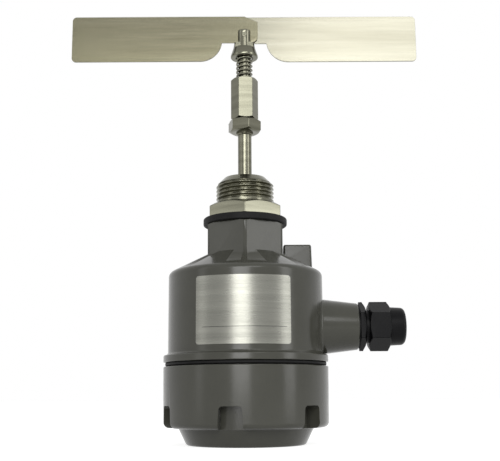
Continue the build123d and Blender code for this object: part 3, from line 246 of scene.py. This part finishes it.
def ease_edges(piece, width, segments=3, angle=35):
    """Small roundings on every edge over that angle (none at width 0), then smooth shading."""
    bpy.ops.object.select_all(action="DESELECT")
    bpy.context.view_layer.objects.active = piece
    piece.select_set(True)
    if width:
        modifier = piece.modifiers.new("edges", "BEVEL")
        modifier.limit_method = "ANGLE"
        modifier.angle_limit = radians(angle)
        modifier.width = width
        modifier.segments = segments
        bpy.ops.object.modifier_apply(modifier=modifier.name)
    bpy.ops.object.shade_smooth_by_angle(angle=radians(angle))
    flats = piece.modifiers.new("flats", "WEIGHTED_NORMAL")
    flats.keep_sharp = True
    bpy.ops.object.modifier_apply(modifier=flats.name)


def pick_edges(piece, wanted):
    """Opens a piece in edit mode with the edges selected whose two ends pass the test."""
    bpy.ops.object.select_all(action="DESELECT")
    bpy.context.view_layer.objects.active = piece
    piece.select_set(True)
    bpy.ops.object.mode_set(mode="EDIT")
    bpy.ops.mesh.select_mode(type="EDGE")
    bpy.ops.mesh.select_all(action="DESELECT")
    bpy.ops.object.mode_set(mode="OBJECT")
    for edge in piece.data.edges:
        edge.select = bool(wanted(*(piece.data.vertices[v].co for v in edge.vertices)))
    bpy.ops.object.mode_set(mode="EDIT")


def round_edges(piece, wanted, radius, segments):
    """Rounds the edges whose two ends pass the test."""
    pick_edges(piece, wanted)
    bpy.ops.mesh.bevel(offset=radius, segments=segments)
    bpy.ops.mesh.select_mode(type="VERT")
    bpy.ops.object.mode_set(mode="OBJECT")


def place(piece, material, body, slot, *nodes):
    """Gives a finished piece its material and its body, and hides the nodes that it stands for; slot is not
    used.
    """
    piece.data.materials.clear()
    piece.data.materials.append(material)
    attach(piece, body)
    if nodes:
        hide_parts(*nodes)


def moved(piece, matrix):
    """Puts a turn or a shift into the piece's mesh and leaves its object at the origin."""
    piece.data.transform(matrix)
    if matrix.determinant() < 0:
        piece.data.flip_normals()
    piece.data.update()
    return piece


enamel = finish("grey_enamel", (0.050, 0.050, 0.040), (0.058, 0.058, 0.047),
                metallic=0.0, roughness=0.2, grain=260, bump=0.08, ior=1.38)
spare = 0.001  # how far a tool, or a form that is joined on, runs past the face that it meets
low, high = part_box("cover")
cover_radius, cover_top = high.x, high.z
nose_disc, nose_foot, nose_radius, nose_height = 0.0288, 0.0328, 0.0375, 0.0093
skirt_foot, skirt_low = cover_radius - 0.0003, nose_height + 0.0003
cover_bore, cover_thread, thread_foot = 0.0342, 0.0413, 0.031
bore_low, bore_high = nose_height + 0.002, thread_foot - 0.001
cover_floor, floor_radius, floor_disc = 0.0045, 0.029, 0.01
cover = lathe("cover_casting", [
    (nose_disc, 0, 0), (nose_foot, 0, 0.0018), (nose_radius, nose_height, 0.001),
    (skirt_foot, skirt_low, 0.003), (cover_radius, cover_top, 0.0006),
    (cover_thread, cover_top, 0.0003), (cover_thread, thread_foot, 0), (cover_bore, bore_high, 0),
    (cover_bore, bore_low, 0), (floor_radius, cover_floor, 0.002), (floor_disc, cover_floor, 0)])
notch_count, notch_first, notch_rounding = 6, radians(-100), 0.002
notch_top, notch_foot, notch_floor = 0.0213, nose_height - 0.004, 0.038
notch_top_width, notch_foot_width, notch_middle, notch_length = 0.0123, 0.0140, 0.045, 0.03
for n in range(notch_count):
    bpy.ops.mesh.primitive_cube_add(size=1, location=(0, 0, 0))
    notch = bpy.context.object
    for vertex in notch.data.vertices:
        x, y, z = vertex.co
        width = notch_top_width if z > 0 else notch_foot_width
        vertex.co = (notch_middle + x * notch_length, y * width, notch_top if z > 0 else notch_foot)
    round_edges(notch, lambda a, b: min(a.z, b.z) > nose_height and abs(a.x - b.x) > notch_length / 2,
                notch_rounding, 5)
    core = lathe("core", [(notch_floor, notch_foot - spare, 0), (notch_floor, notch_top + spare, 0)])
    combine(notch, core, "DIFFERENCE")
    moved(notch, Matrix.Rotation(notch_first + n * 2 * pi / notch_count, 4, "Z"))
    combine(cover, notch, "DIFFERENCE")
ease_edges(cover, 0.0004)
place(cover, enamel, "cover", "paint", "cover")

# Cover seal. A black rubber ring squeezed between the cover and the housing's flange.
rubber = finish("black_rubber", (0.004, 0.004, 0.004), (0.008, 0.008, 0.008),
                metallic=0.0, roughness=0.6, grain=900, bump=0.2, ior=1.25)
low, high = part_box("cover_seal")
seal_radius, seal_bore, seal_rounding = high.x, high.x - 0.004, 0.0008
seal = lathe("cover_seal_ring", [
    (seal_bore, low.z, 0), (seal_radius, low.z, seal_rounding),
    (seal_radius, high.z, seal_rounding), (seal_bore, high.z, 0)], bored=True)
ease_edges(seal, 0)
place(seal, rubber, "housing", "rubber", "cover_seal")

# Housing. One casting: spigot, flange, barrel, sloping shoulder, hexagonal neck, a plain lug beside
# the neck and a tapered boss for the cable gland, all in the cover's enamel.
flange_low, flange_high = high.z, high.z + 0.004
flange_radius, barrel_radius, spigot_radius, spigot_low = 0.046, 0.0435, 0.041, high.z - 0.0118
shoulder_low, shoulder_slope, neck_foot_radius = flange_high + 0.0457, radians(26.9), 0.0216
shoulder_high = shoulder_low + (barrel_radius - neck_foot_radius) * tan(shoulder_slope)
neck_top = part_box("process_gasket")[0].z
ceiling_disc, ceiling_radius, ceiling_height = 0.016, 0.022, shoulder_low + 0.0025
cavity_radius, cavity_high, crown_disc = 0.038, shoulder_low - 0.0065, neck_foot_radius - 0.002
housing = lathe("housing_casting", [
    (ceiling_disc, ceiling_height, 0), (ceiling_radius, ceiling_height, 0.003),
    (cavity_radius, cavity_high, 0.003), (cavity_radius, spigot_low, 0.0004),
    (spigot_radius, spigot_low, 0.0008), (spigot_radius, flange_low, 0), (flange_radius, flange_low, 0.0005),
    (flange_radius, flange_high, 0.0008), (barrel_radius, flange_high, 0.0016),
    (barrel_radius, shoulder_low, 0.0035), (neck_foot_radius, shoulder_high, 0),
    (crown_disc, shoulder_high, 0)], segments=192)


def hexagon_bar(name, across, low, high, turn=0.0, foot=True, reach=0.94):
    """A hexagonal bar with a corner at that turn from X. A turned blank cuts its chamfers and leaves end
    faces of reach times the width across flats; without foot, the lower end stays square."""
    bpy.ops.object.select_all(action="DESELECT")
    bpy.ops.mesh.primitive_cylinder_add(vertices=6, radius=across / sqrt(3), depth=high - low,
                                        location=(0, 0, (low + high) / 2))
    bar = bpy.context.object
    bar.name = name
    bpy.ops.object.transform_apply(location=True, rotation=True, scale=True)
    moved(bar, Matrix.Rotation(turn - pi / 6, 4, "Z"))
    past = 0.0001  # the blank's ends stay clear of the bar's, so that no two faces coincide
    corner, face = across / sqrt(3) * 1.01, reach * across / 2
    drop, end_face = (corner - face) * tan(radians(30)), face - past / tan(radians(30))
    profile = [(end_face, low - past, 0), (corner, low + drop, 0)] if foot else [(corner, low - past, 0)]
    profile += [(corner, high - drop, 0), (end_face, high + past, 0)]
    return combine(bar, lathe("blank", profile, segments=96), "INTERSECT")


def along_x(piece, height):
    """Lays a piece turned about Z along +X at the gland's height."""
    return moved(piece, Matrix.Translation((0, 0, height)) @ Matrix.Rotation(pi / 2, 4, "Y"))


neck_flats, neck_root, neck_corner = 0.042, shoulder_high - 0.006, 0.0012
neck = hexagon_bar("neck", neck_flats, neck_root, neck_top, pi / 6, foot=False, reach=1.07)
round_edges(neck, lambda a, b: abs(a.z - b.z) > (neck_top - neck_root) / 2, neck_corner, 6)
combine(housing, neck, "UNION")
lug_low, lug_top = shoulder_low - 0.002, shoulder_low + 0.0179
lug_x, lug_y, lug_draft, lug_rounding = (0.0215, 0.0386), (0.003, 0.017), 0.0005, 0.0012
bpy.ops.mesh.primitive_cube_add(size=1, location=(0, 0, 0))
lug = bpy.context.object
for vertex in lug.data.vertices:
    x, y, z = vertex.co
    inward = lug_draft if z > 0 else 0
    vertex.co = (sum(lug_x) / 2 + x * (lug_x[1] - lug_x[0] - 2 * inward),
                 sum(lug_y) / 2 + y * (lug_y[1] - lug_y[0] - 2 * inward), lug_top if z > 0 else lug_low)
ease_edges(lug, lug_rounding, 5)
combine(housing, lug, "UNION")
gland_height, boss_reach, boss_root, boss_end = 0.0645, 0.0629, 0.0154, 0.013
boss_start, boss_taper_start, entry_radius = barrel_radius - 0.004, barrel_radius - 0.0005, 0.0101
boss = lathe("boss", [
    (boss_root, boss_start, 0), (boss_root, boss_taper_start, 0), (boss_end, boss_reach, 0.0006),
    (entry_radius, boss_reach, 0), (entry_radius, boss_start + spare, 0)], segments=96)
along_x(boss, gland_height)
combine(housing, boss, "UNION")
ease_edges(housing, 0)
place(housing, enamel, "housing", "paint", "housing")

# Name plate. A thin brushed foil bent round the barrel and glued on, left bare apart from one ruled line.
foil = finish("brushed_foil", (0.17, 0.17, 0.15), (0.215, 0.215, 0.19),
              metallic=0.9, roughness=0.28, grain=60, bump=0.1, stretch=(1, 1, 30))
rule_height, rule_middle, rule_half_length, rule_half_weight = flange_high + 0.0131, -0.0005, 0.0222, 0.00013
foil_tree = foil.node_tree
rule_axes = foil_tree.nodes.new("ShaderNodeSeparateXYZ")
foil_tree.links.new(foil_tree.nodes["Texture Coordinate"].outputs["Object"], rule_axes.inputs[0])


def near(axis, middle, reach):
    """1 where that axis of the foil's object coordinates is within reach of the middle."""
    within = foil_tree.nodes.new("ShaderNodeMath")
    within.operation = "COMPARE"
    foil_tree.links.new(rule_axes.outputs[axis], within.inputs[0])
    within.inputs[1].default_value = middle
    within.inputs[2].default_value = reach
    return within.outputs[0]


inked = foil_tree.nodes.new("ShaderNodeMath")
inked.operation = "MULTIPLY"
foil_tree.links.new(near("Z", rule_height, rule_half_weight), inked.inputs[0])
foil_tree.links.new(near("X", rule_middle, rule_half_length), inked.inputs[1])
ink = foil_tree.nodes.new("ShaderNodeMix")
ink.data_type = "RGBA"
foil_tree.links.new(inked.outputs[0], ink.inputs["Factor"])
foil_tree.links.new(foil_tree.nodes["Color Ramp"].outputs["Color"], ink.inputs["A"])
ink.inputs["B"].default_value = (0.03, 0.03, 0.03, 1)
foil_tree.links.new(ink.outputs["Result"], foil_tree.nodes["Principled BSDF"].inputs["Base Color"])
low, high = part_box("name_plate")
plate_chord, plate_corner, plate_foil, plate_turn = 0.0496, 0.0015, 0.0003, radians(-1.7)
bpy.ops.object.select_all(action="DESELECT")
bpy.ops.mesh.primitive_plane_add(size=1, location=(0, 0, (low.z + high.z) / 2), rotation=(pi / 2, 0, 0))
plate = bpy.context.object
plate.name = "name_plate_foil"
plate.scale = (plate_chord, high.z - low.z, 1)
bpy.ops.object.transform_apply(location=True, rotation=True, scale=True)
bpy.ops.object.mode_set(mode="EDIT")
bpy.ops.mesh.select_all(action="SELECT")
bpy.ops.mesh.bevel(affect="VERTICES", offset=plate_corner, segments=8, profile=0.5)
strips = 56
for n in range(1, strips):
    bpy.ops.mesh.select_all(action="SELECT")
    bpy.ops.mesh.bisect(plane_co=(plate_chord * (n / strips - 0.5), 0, 0), plane_no=(1, 0, 0))
bpy.ops.object.mode_set(mode="OBJECT")
for vertex in plate.data.vertices:
    vertex.co.y = -sqrt(barrel_radius**2 - vertex.co.x**2)
plate.data.update()
if plate.data.polygons[0].normal.y > 0:
    plate.data.flip_normals()
wall = plate.modifiers.new("wall", "SOLIDIFY")
wall.thickness = plate_foil
wall.offset = 1.0
bpy.ops.object.modifier_apply(modifier=wall.name)
moved(plate, Matrix.Rotation(plate_turn, 4, "Z"))
ease_edges(plate, 0)
place(plate, foil, "housing", "foil", "name_plate")

# Process gasket. A flat black rubber ring between the neck and the nipple.
low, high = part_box("process_gasket")
gasket_bore, gasket_rounding = 0.0151, 0.0009
gasket = lathe("process_gasket_ring", [
    (gasket_bore, low.z, 0), (high.x, low.z, gasket_rounding), (high.x, high.z, gasket_rounding),
    (gasket_bore, high.z, 0)], bored=True)
ease_edges(gasket, 0)
place(gasket, rubber, "housing", "rubber", "process_gasket")

# Process nipple. Turned from stainless hexagon bar: hexagon, one-inch parallel pipe thread and a
# slanting lead, with the shaft's opening in its end.
stainless = finish("turned_stainless", (0.12, 0.118, 0.088), (0.17, 0.167, 0.127),
                   metallic=1.0, roughness=0.2, grain=90, bump=0.12, stretch=(1, 1, 14))
nipple_hex, nipple_hex_low, nipple_hex_high = 0.040, high.z, high.z + 0.0082
thread_radius, thread_pitch, thread_depth, pitch_rows = 0.01662, 0.002309, 0.00148, 14
thread_low, thread_high, runout_length = nipple_hex_high + 0.0012, nipple_hex_high + 0.0113, 0.001
flank, root_flat = 1.35, 0.17  # how steep the ridges' flanks are and how wide their flat root is
nipple_top, mouth_radius, mouth_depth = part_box("process_nipple")[1].z, 0.0056, 0.0015
nipple = hexagon_bar("process_nipple_hexagon", nipple_hex, nipple_hex_low, nipple_hex_high, pi / 6,
                     foot=False)
ease_edges(nipple, 0.0003)
place(nipple, stainless, "housing", "stainless", "process_nipple")
thread = lathe("process_thread", [
    (thread_radius, nipple_hex_high - spare, 0), (thread_radius, nipple_top, 0)], segments=128)
pick_edges(thread, lambda a, b: abs(a.z - b.z) > spare)
bpy.ops.mesh.subdivide(number_cuts=int((nipple_top - nipple_hex_high + spare) / thread_pitch * pitch_rows))
bpy.ops.mesh.select_mode(type="VERT")
bpy.ops.object.mode_set(mode="OBJECT")
for vertex in thread.data.vertices:
    x, y, z = vertex.co
    angle = atan2(y, x)
    phase = ((z - nipple_hex_high) / thread_pitch - angle / (2 * pi)) % 1.0
    tooth = min(1.0, max(0.0, flank * abs(2 * phase - 1) - root_flat))
    runout = min(1.0, max(0.0, (z - thread_low) / runout_length))
    radius = thread_radius - thread_depth * (1 - tooth) * runout
    radius = min(radius, thread_radius - max(0.0, z - thread_high))
    vertex.co = (radius * cos(angle), radius * sin(angle), z)
mouth = lathe("mouth", [(mouth_radius, nipple_top - mouth_depth, 0), (mouth_radius, nipple_top + spare, 0)],
              segments=48)
combine(thread, mouth, "DIFFERENCE")
ease_edges(thread, 0, angle=45)
place(thread, stainless, "housing", "stainless")

# Cable gland. Black nylon: flat washer, body with a hexagonal flange and a dome nut that squeezes
# the rubber insert; nothing is fed through it.
nylon = finish("black_nylon", (0.003, 0.003, 0.0035), (0.005, 0.005, 0.0055),
               metallic=0.0, roughness=0.38, grain=700, bump=0.12, ior=1.2)
gland_hex, washer_end, flange_end, nut_start, nut_end = 0.024, 0.0637, 0.0671, 0.0689, 0.0895
washer_bore, washer_radius, washer_rounding = 0.0100, 0.012, 0.0002
washer = lathe("gland_washer_ring", [
    (washer_bore, boss_reach, 0), (washer_radius, boss_reach, washer_rounding),
    (washer_radius, washer_end, washer_rounding), (washer_bore, washer_end, 0)], segments=96, bored=True)
ease_edges(along_x(washer, gland_height), 0)
place(washer, rubber, "housing", "rubber", "gland_washer")
flange = hexagon_bar("gland_body_flange", gland_hex, washer_end, flange_end, foot=False)
inner_stem, inner_reach, outer_stem, outer_reach = 0.0099, 0.009, 0.0092, 0.008
for radius, start, end in ((inner_stem, washer_end - inner_reach, washer_end + spare),
                           (outer_stem, flange_end - spare, flange_end + outer_reach)):
    combine(flange, lathe("stem", [(radius, start, 0), (radius, end, 0)], segments=96), "UNION")
ease_edges(along_x(flange, gland_height), 0.0003)
place(flange, nylon, "housing", "nylon", "gland_body")
nut_hex_end, dome_radius, dome_draft, nut_mouth = nut_start + 0.0115, 0.01075, 0.0004, 0.007
nut = hexagon_bar("gland_dome_nut", gland_hex, nut_start, nut_hex_end + 0.0004, reach=0.97)
dome = lathe("dome", [
    (dome_radius, nut_hex_end - 0.003, 0), (dome_radius, nut_hex_end + 0.0014, 0.0003),
    (dome_radius - dome_draft, nut_end, 0.0026), (nut_mouth, nut_end, 0.0005),
    (nut_mouth, nut_hex_end + 0.002, 0)], segments=96)
combine(nut, dome, "UNION")
ease_edges(along_x(nut, gland_height), 0.0003)
place(nut, nylon, "housing", "nylon", "gland_nut")
insert_bore, insert_radius, insert_low, insert_high = 0.0045, 0.0069, nut_hex_end - 0.002, nut_end - 0.0029
insert = lathe("gland_insert_sleeve", [
    (insert_bore, insert_low, 0), (insert_radius, insert_low, 0), (insert_radius, insert_high, 0.0008),
    (insert_bore, insert_high, 0.0006)], segments=64, bored=True)
ease_edges(along_x(insert, gland_height), 0)
place(insert, rubber, "housing", "rubber", "gland_insert")

# Shaft. Ground stainless, with a wider threaded end under the lock nut.
low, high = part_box("main_shaft")
lock_nut_low, coupling_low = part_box("lock_nut")[0].z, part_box("lock_nut")[1].z
shaft_radius, shaft_chamfer = 0.004, 0.0004
end_radius, end_chamfer, end_low = 0.005, 0.0006, lock_nut_low - 0.0014
shaft = lathe("main_shaft_bar", [
    (shaft_radius - shaft_chamfer, low.z, 0), (shaft_radius, low.z + shaft_chamfer, 0),
    (shaft_radius, end_low, 0), (end_radius - end_chamfer, end_low, 0),
    (end_radius, end_low + end_chamfer, 0), (end_radius, high.z, 0)], segments=64)
ease_edges(shaft, 0)
place(shaft, stainless, "rotor", "stainless", "main_shaft")

# Lock nut and coupling. A plain nut and a long hexagon that joins the shaft and the spindle.
coupling_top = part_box("coupling_nut")[1].z
lock_nut_flats, lock_nut_turn, coupling_flats, coupling_turn = 0.017, radians(-15), 0.014, radians(5.4)
lock_nut = hexagon_bar("lock_nut_hexagon", lock_nut_flats, lock_nut_low, coupling_low, lock_nut_turn,
                       reach=0.86)
ease_edges(lock_nut, 0.0002)
place(lock_nut, stainless, "rotor", "stainless", "lock_nut")
coupling = hexagon_bar("coupling_hexagon", coupling_flats, coupling_low, coupling_top, coupling_turn,
                       reach=0.93)
ease_edges(coupling, 0.0002)
place(coupling, stainless, "rotor", "stainless", "coupling_nut")

# Collar spring. Round steel wire wound between the coupling and the collar; it shortens as the
# blades fold.
def wound(name, radius, wire, turns, length):
    """Round wire wound up +Z from the origin."""
    bpy.ops.object.select_all(action="DESELECT")
    bpy.ops.mesh.primitive_circle_add(vertices=16, radius=wire / 2, fill_type="NGON",
                                      location=(radius, 0, 0), rotation=(pi / 2, 0, 0))
    coil = bpy.context.object
    coil.name = name
    bpy.ops.object.transform_apply(location=True, rotation=True, scale=True)
    winding = coil.modifiers.new("winding", "SCREW")
    winding.angle = 2 * pi * turns
    winding.screw_offset = length
    winding.steps = winding.render_steps = int(36 * turns)
    winding.use_merge_vertices = True
    winding.merge_threshold = 1e-6
    bpy.ops.object.modifier_apply(modifier=winding.name)
    bpy.ops.object.mode_set(mode="EDIT")
    bpy.ops.mesh.select_all(action="SELECT")
    bpy.ops.mesh.normals_make_consistent(inside=False)
    bpy.ops.object.mode_set(mode="OBJECT")
    bpy.ops.object.shade_smooth()
    return coil


low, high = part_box("collar_spring")
wire, spring_radius, spring_turns = 0.0011, 0.0044, 6.5
spring = wound("collar_spring_wire", spring_radius, wire, spring_turns, high.z - low.z - wire)
moved(spring, Matrix.Translation((0, 0, low.z + wire / 2)))
spring_steel = finish("spring_steel", (0.14, 0.137, 0.105), (0.20, 0.197, 0.15),
                      metallic=1.0, roughness=0.22, grain=400, bump=0.2)
place(spring, spring_steel, "rotor", "spring_wire", "collar_spring")
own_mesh(spring)

# Spindle and pivot pin. The slotted stainless spindle carries both blades on a cross pin.
low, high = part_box("paddle_spindle")
pin_low, pin_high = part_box("pivot_pin")
pin_height, pin_half, pin_radius = (pin_low.z + pin_high.z) / 2, pin_high.y, 0.0015
collar_low, collar_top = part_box("spring_collar")[0].z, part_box("spring_collar")[1].z
spindle_radius, spindle_chamfer, spindle_disc, spindle_neck, neck_end = 0.004, 0.0006, 0.002, 0.0036, 0.0024
slot_width, slot_low, slot_high, tool_reach = 0.003, pin_height - 0.0099, high.z + 2 * spare, 0.02
spindle = lathe("paddle_spindle_bar", [
    (spindle_radius - spindle_chamfer, low.z, 0), (spindle_radius, low.z + spindle_chamfer, 0),
    (spindle_radius, coupling_top, 0), (spindle_neck, coupling_top, 0),
    (spindle_neck, collar_low + neck_end - (spindle_radius - spindle_neck), 0),
    (spindle_radius, collar_low + neck_end, 0), (spindle_radius, high.z, 0.0009),
    (spindle_disc, high.z, 0)], segments=72)
bpy.ops.mesh.primitive_cube_add(size=1, location=(0, 0, (slot_low + slot_high) / 2),
                                scale=(tool_reach, slot_width, slot_high - slot_low))
combine(spindle, bpy.context.object, "DIFFERENCE")
bpy.ops.mesh.primitive_cylinder_add(vertices=32, radius=pin_radius, depth=tool_reach,
                                    location=(0, 0, pin_height), rotation=(pi / 2, 0, 0))
combine(spindle, bpy.context.object, "DIFFERENCE")
ease_edges(spindle, 0.0001, 2, angle=40)
place(spindle, stainless, "rotor", "stainless", "paddle_spindle")
pin_disc, pin_rounding, pin_play = 0.0011, 0.0003, 0.0001
pin = lathe("pivot_pin_bar", [
    (pin_disc, -pin_half, 0), (pin_radius, -pin_half, pin_rounding), (pin_radius, pin_half, pin_rounding),
    (pin_disc, pin_half, 0)], segments=32)
moved(pin, Matrix.Translation((0, 0, pin_height)) @ Matrix.Rotation(pi / 2, 4, "X"))
ease_edges(pin, 0)
place(pin, stainless, "rotor", "stainless", "pivot_pin")

# Spring collar. A bell-shaped stainless collar, hollow below for the spring; its two ears, left
# between milled flats, hold the blades level.
cup_radius, cup_high, collar_bore = 0.00525, collar_low + 0.0045, 0.0041
collar_radius, collar_rim = 0.0081, 0.0014
ear_low, ear_half, ear_foot, ear_tip, waist = collar_top - 0.0034, 0.0035, 0.0066, 0.006, 0.0071
collar = lathe("spring_collar_bell", [
    (cup_radius, collar_low, 0), (collar_radius, collar_low, 0.0006),
    (collar_radius, collar_low + collar_rim, 0.001), (waist, ear_low - collar_rim, 0), (ear_foot, ear_low, 0),
    (ear_tip, collar_top, 0), (collar_bore, collar_top, 0), (collar_bore, cup_high, 0),
    (cup_radius, cup_high, 0)], segments=96, bored=True)
for side in (-1, 1):
    bpy.ops.mesh.primitive_cube_add(size=1, scale=(2 * tool_reach, tool_reach, tool_reach / 2), location=(
        0, side * (ear_half + tool_reach / 2), ear_low + tool_reach / 4))
    combine(collar, bpy.context.object, "DIFFERENCE")
ease_edges(collar, 0.00015, 3, angle=40)
place(collar, stainless, "collar", "stainless", "spring_collar")

# Blades. Two alike blades of 1.2 mm stainless sheet lie side by side on the pin, one turned half round.
# Each has a heel that bears on the collar, a big rounded root corner and rounded outer corners.
left_sheet = finish("rolled_sheet", (0.125, 0.118, 0.078), (0.155, 0.147, 0.102),
                    metallic=1.0, roughness=0.22, grain=40, bump=0.06, stretch=(1, 1, 22))
# The right blade gets a lighter copy of the left blade's sheet colour. This is a painted reflection of the
# high softbox, because the two blades are the same stainless sheet.
right_sheet_painted_reflection = finish("rolled_sheet_painted_reflection", (0.20, 0.193, 0.152), (0.235, 0.228, 0.184),
                     metallic=1.0, roughness=0.22, grain=40, bump=0.06, stretch=(1, 1, 22))
blade_reach, heel, seat = 0.103, 0.0081, 0.0043
blade_low, blade_high = pin_height - 0.0159, pin_height + 0.0124
sheet, side_gap, root_arc, root_start, tip_corner = 0.0012, 0.0002, 0.0133, 0.0265, 0.0025
heel_corner, chamfer_run, chamfer_drop, tiny = seat - 0.00005, 0.0079, 0.0036, 1e-5
blade_middle = -(side_gap + sheet) / 2
bpy.ops.object.select_all(action="DESELECT")
bpy.ops.mesh.primitive_cube_add(
    size=1, location=((heel - blade_reach) / 2, blade_middle, (blade_low + blade_high) / 2),
    scale=(heel + blade_reach, sheet, blade_high - blade_low))
left_blade = bpy.context.object
left_blade.name = "left_blade_sheet"
bpy.ops.object.transform_apply(location=True, rotation=True, scale=True)
bpy.ops.mesh.primitive_cube_add(size=1, location=(0, 0, pin_height - seat - tool_reach / 2),
                                scale=(2 * root_start, tool_reach / 2, tool_reach))
root = bpy.context.object
bpy.ops.object.transform_apply(location=True, rotation=True, scale=True)
bpy.ops.mesh.primitive_cylinder_add(vertices=128, radius=root_arc, depth=tool_reach,
                                    location=(-root_start, 0, blade_low + root_arc), rotation=(pi / 2, 0, 0))
combine(root, bpy.context.object, "DIFFERENCE")
combine(left_blade, root, "DIFFERENCE")
bpy.ops.mesh.primitive_cylinder_add(vertices=32, radius=pin_radius + pin_play, depth=tool_reach,
                                    location=(0, 0, pin_height), rotation=(pi / 2, 0, 0))
combine(left_blade, bpy.context.object, "DIFFERENCE")
round_edges(left_blade, lambda a, b: max(a.x, b.x) < tiny - blade_reach and abs(a.y - b.y) > sheet / 2,
            tip_corner, 8)
round_edges(left_blade, lambda a, b: min(a.x, b.x) > heel - tiny and abs(a.y - b.y) > sheet / 2
            and max(a.z, b.z) < pin_height, heel_corner, 10)
bpy.ops.object.mode_set(mode="EDIT")
bpy.ops.mesh.select_all(action="SELECT")
bpy.ops.mesh.bisect(plane_co=(heel, 0, blade_high - chamfer_drop), use_fill=True, clear_outer=True,
                    plane_no=Vector((chamfer_drop, 0, chamfer_run)).normalized())
bpy.ops.object.mode_set(mode="OBJECT")
ease_edges(left_blade, 0.00012, 2, angle=50)
right_blade = left_blade.copy()
right_blade.data = left_blade.data.copy()
right_blade.name = "right_blade_sheet"
bpy.context.collection.objects.link(right_blade)
moved(right_blade, Matrix.Rotation(pi, 4, "Z"))
place(left_blade, left_sheet, "left_blade", "blade_sheet", "left_blade")
place(right_blade, right_sheet_painted_reflection, "right_blade", "blade_sheet", "right_blade")

# Return spring. A nearly closed coil with an eye at each end, between the housing's post and the
# swing plate's hook pin; it stretches as the motor swings.
post_circle, post_angle, hook_circle, hook_angle = 0.0335, radians(295), 0.0295, radians(322)
return_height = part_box("swing_plate")[0].z - 0.004
return_radius, return_wire, eye_radius, eye_gap = 0.0017, 0.0006, 0.0017, 0.0001
post_spot = Vector((post_circle * cos(post_angle), post_circle * sin(post_angle), return_height))
hook_spot = Vector((hook_circle * cos(hook_angle), hook_circle * sin(hook_angle), return_height))
span = hook_spot - post_spot
eye = eye_radius + return_wire / 2
coil_length = span.length - 2 * (eye + eye_gap)
return_turns = int(coil_length / (1.3 * return_wire))  # a pitch of 1.3 wires
return_spring = wound("return_spring_wire", return_radius, return_wire, return_turns, coil_length)
turned_to = span.to_track_quat("Z", "Y").to_matrix().to_4x4()
moved(return_spring, Matrix.Translation(post_spot + span.normalized() * (eye + eye_gap)) @ turned_to)
eyes = []
for spot in (post_spot, hook_spot):
    bpy.ops.mesh.primitive_torus_add(major_radius=eye_radius, minor_radius=return_wire / 2, major_segments=36,
                                     minor_segments=12, location=spot)
    bpy.ops.object.shade_smooth()
    eyes.append(bpy.context.object)
bpy.ops.object.select_all(action="DESELECT")
for loop in (*eyes, return_spring):
    loop.select_set(True)
bpy.context.view_layer.objects.active = return_spring
bpy.ops.object.join()
bpy.ops.object.transform_apply(location=True, rotation=True, scale=True)
return_spring.data.materials.clear()
return_spring.data.materials.append(spring_steel)
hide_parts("return_spring")
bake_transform(return_spring)

# Inner works. The bearings, chassis, swinging motor, switches and terminals keep their solids and
# get the finish that each is bought or plated in.
works = {
    "bearing_steel": finish("ground_bearing_steel", (0.42, 0.42, 0.42), (0.52, 0.52, 0.51),
                            metallic=1.0, roughness=0.18, grain=300, bump=0.08),
    "zinc_plate": finish("bright_zinc", (0.44, 0.45, 0.46), (0.55, 0.55, 0.53),
                         metallic=1.0, roughness=0.32, grain=240, bump=0.25, spread=0.1),
    "brass": finish("turned_brass", (0.45, 0.31, 0.10), (0.56, 0.41, 0.16),
                    metallic=1.0, roughness=0.25, grain=200, bump=0.2, stretch=(1, 1, 8)),
    "board": finish("green_laminate", (0.012, 0.07, 0.022), (0.02, 0.095, 0.034),
                    metallic=0.0, roughness=0.35, grain=320, bump=0.15),
    "terminal_plastic": finish("moulded_terminals", (0.015, 0.07, 0.035), (0.022, 0.085, 0.045),
                               metallic=0.0, roughness=0.42, grain=500, bump=0.2),
    "switch_plastic": finish("moulded_switch_case", (0.008, 0.008, 0.008), (0.014, 0.014, 0.014),
                             metallic=0.0, roughness=0.4, grain=600, bump=0.2),
    "rubber": rubber}
for part in frame["record"]["subparts"]:
    node = frame["nodes"][part["node"]]
    if not node.hide_render:
        node.data.materials.clear()
        node.data.materials.append(works[part["material_slot"]])
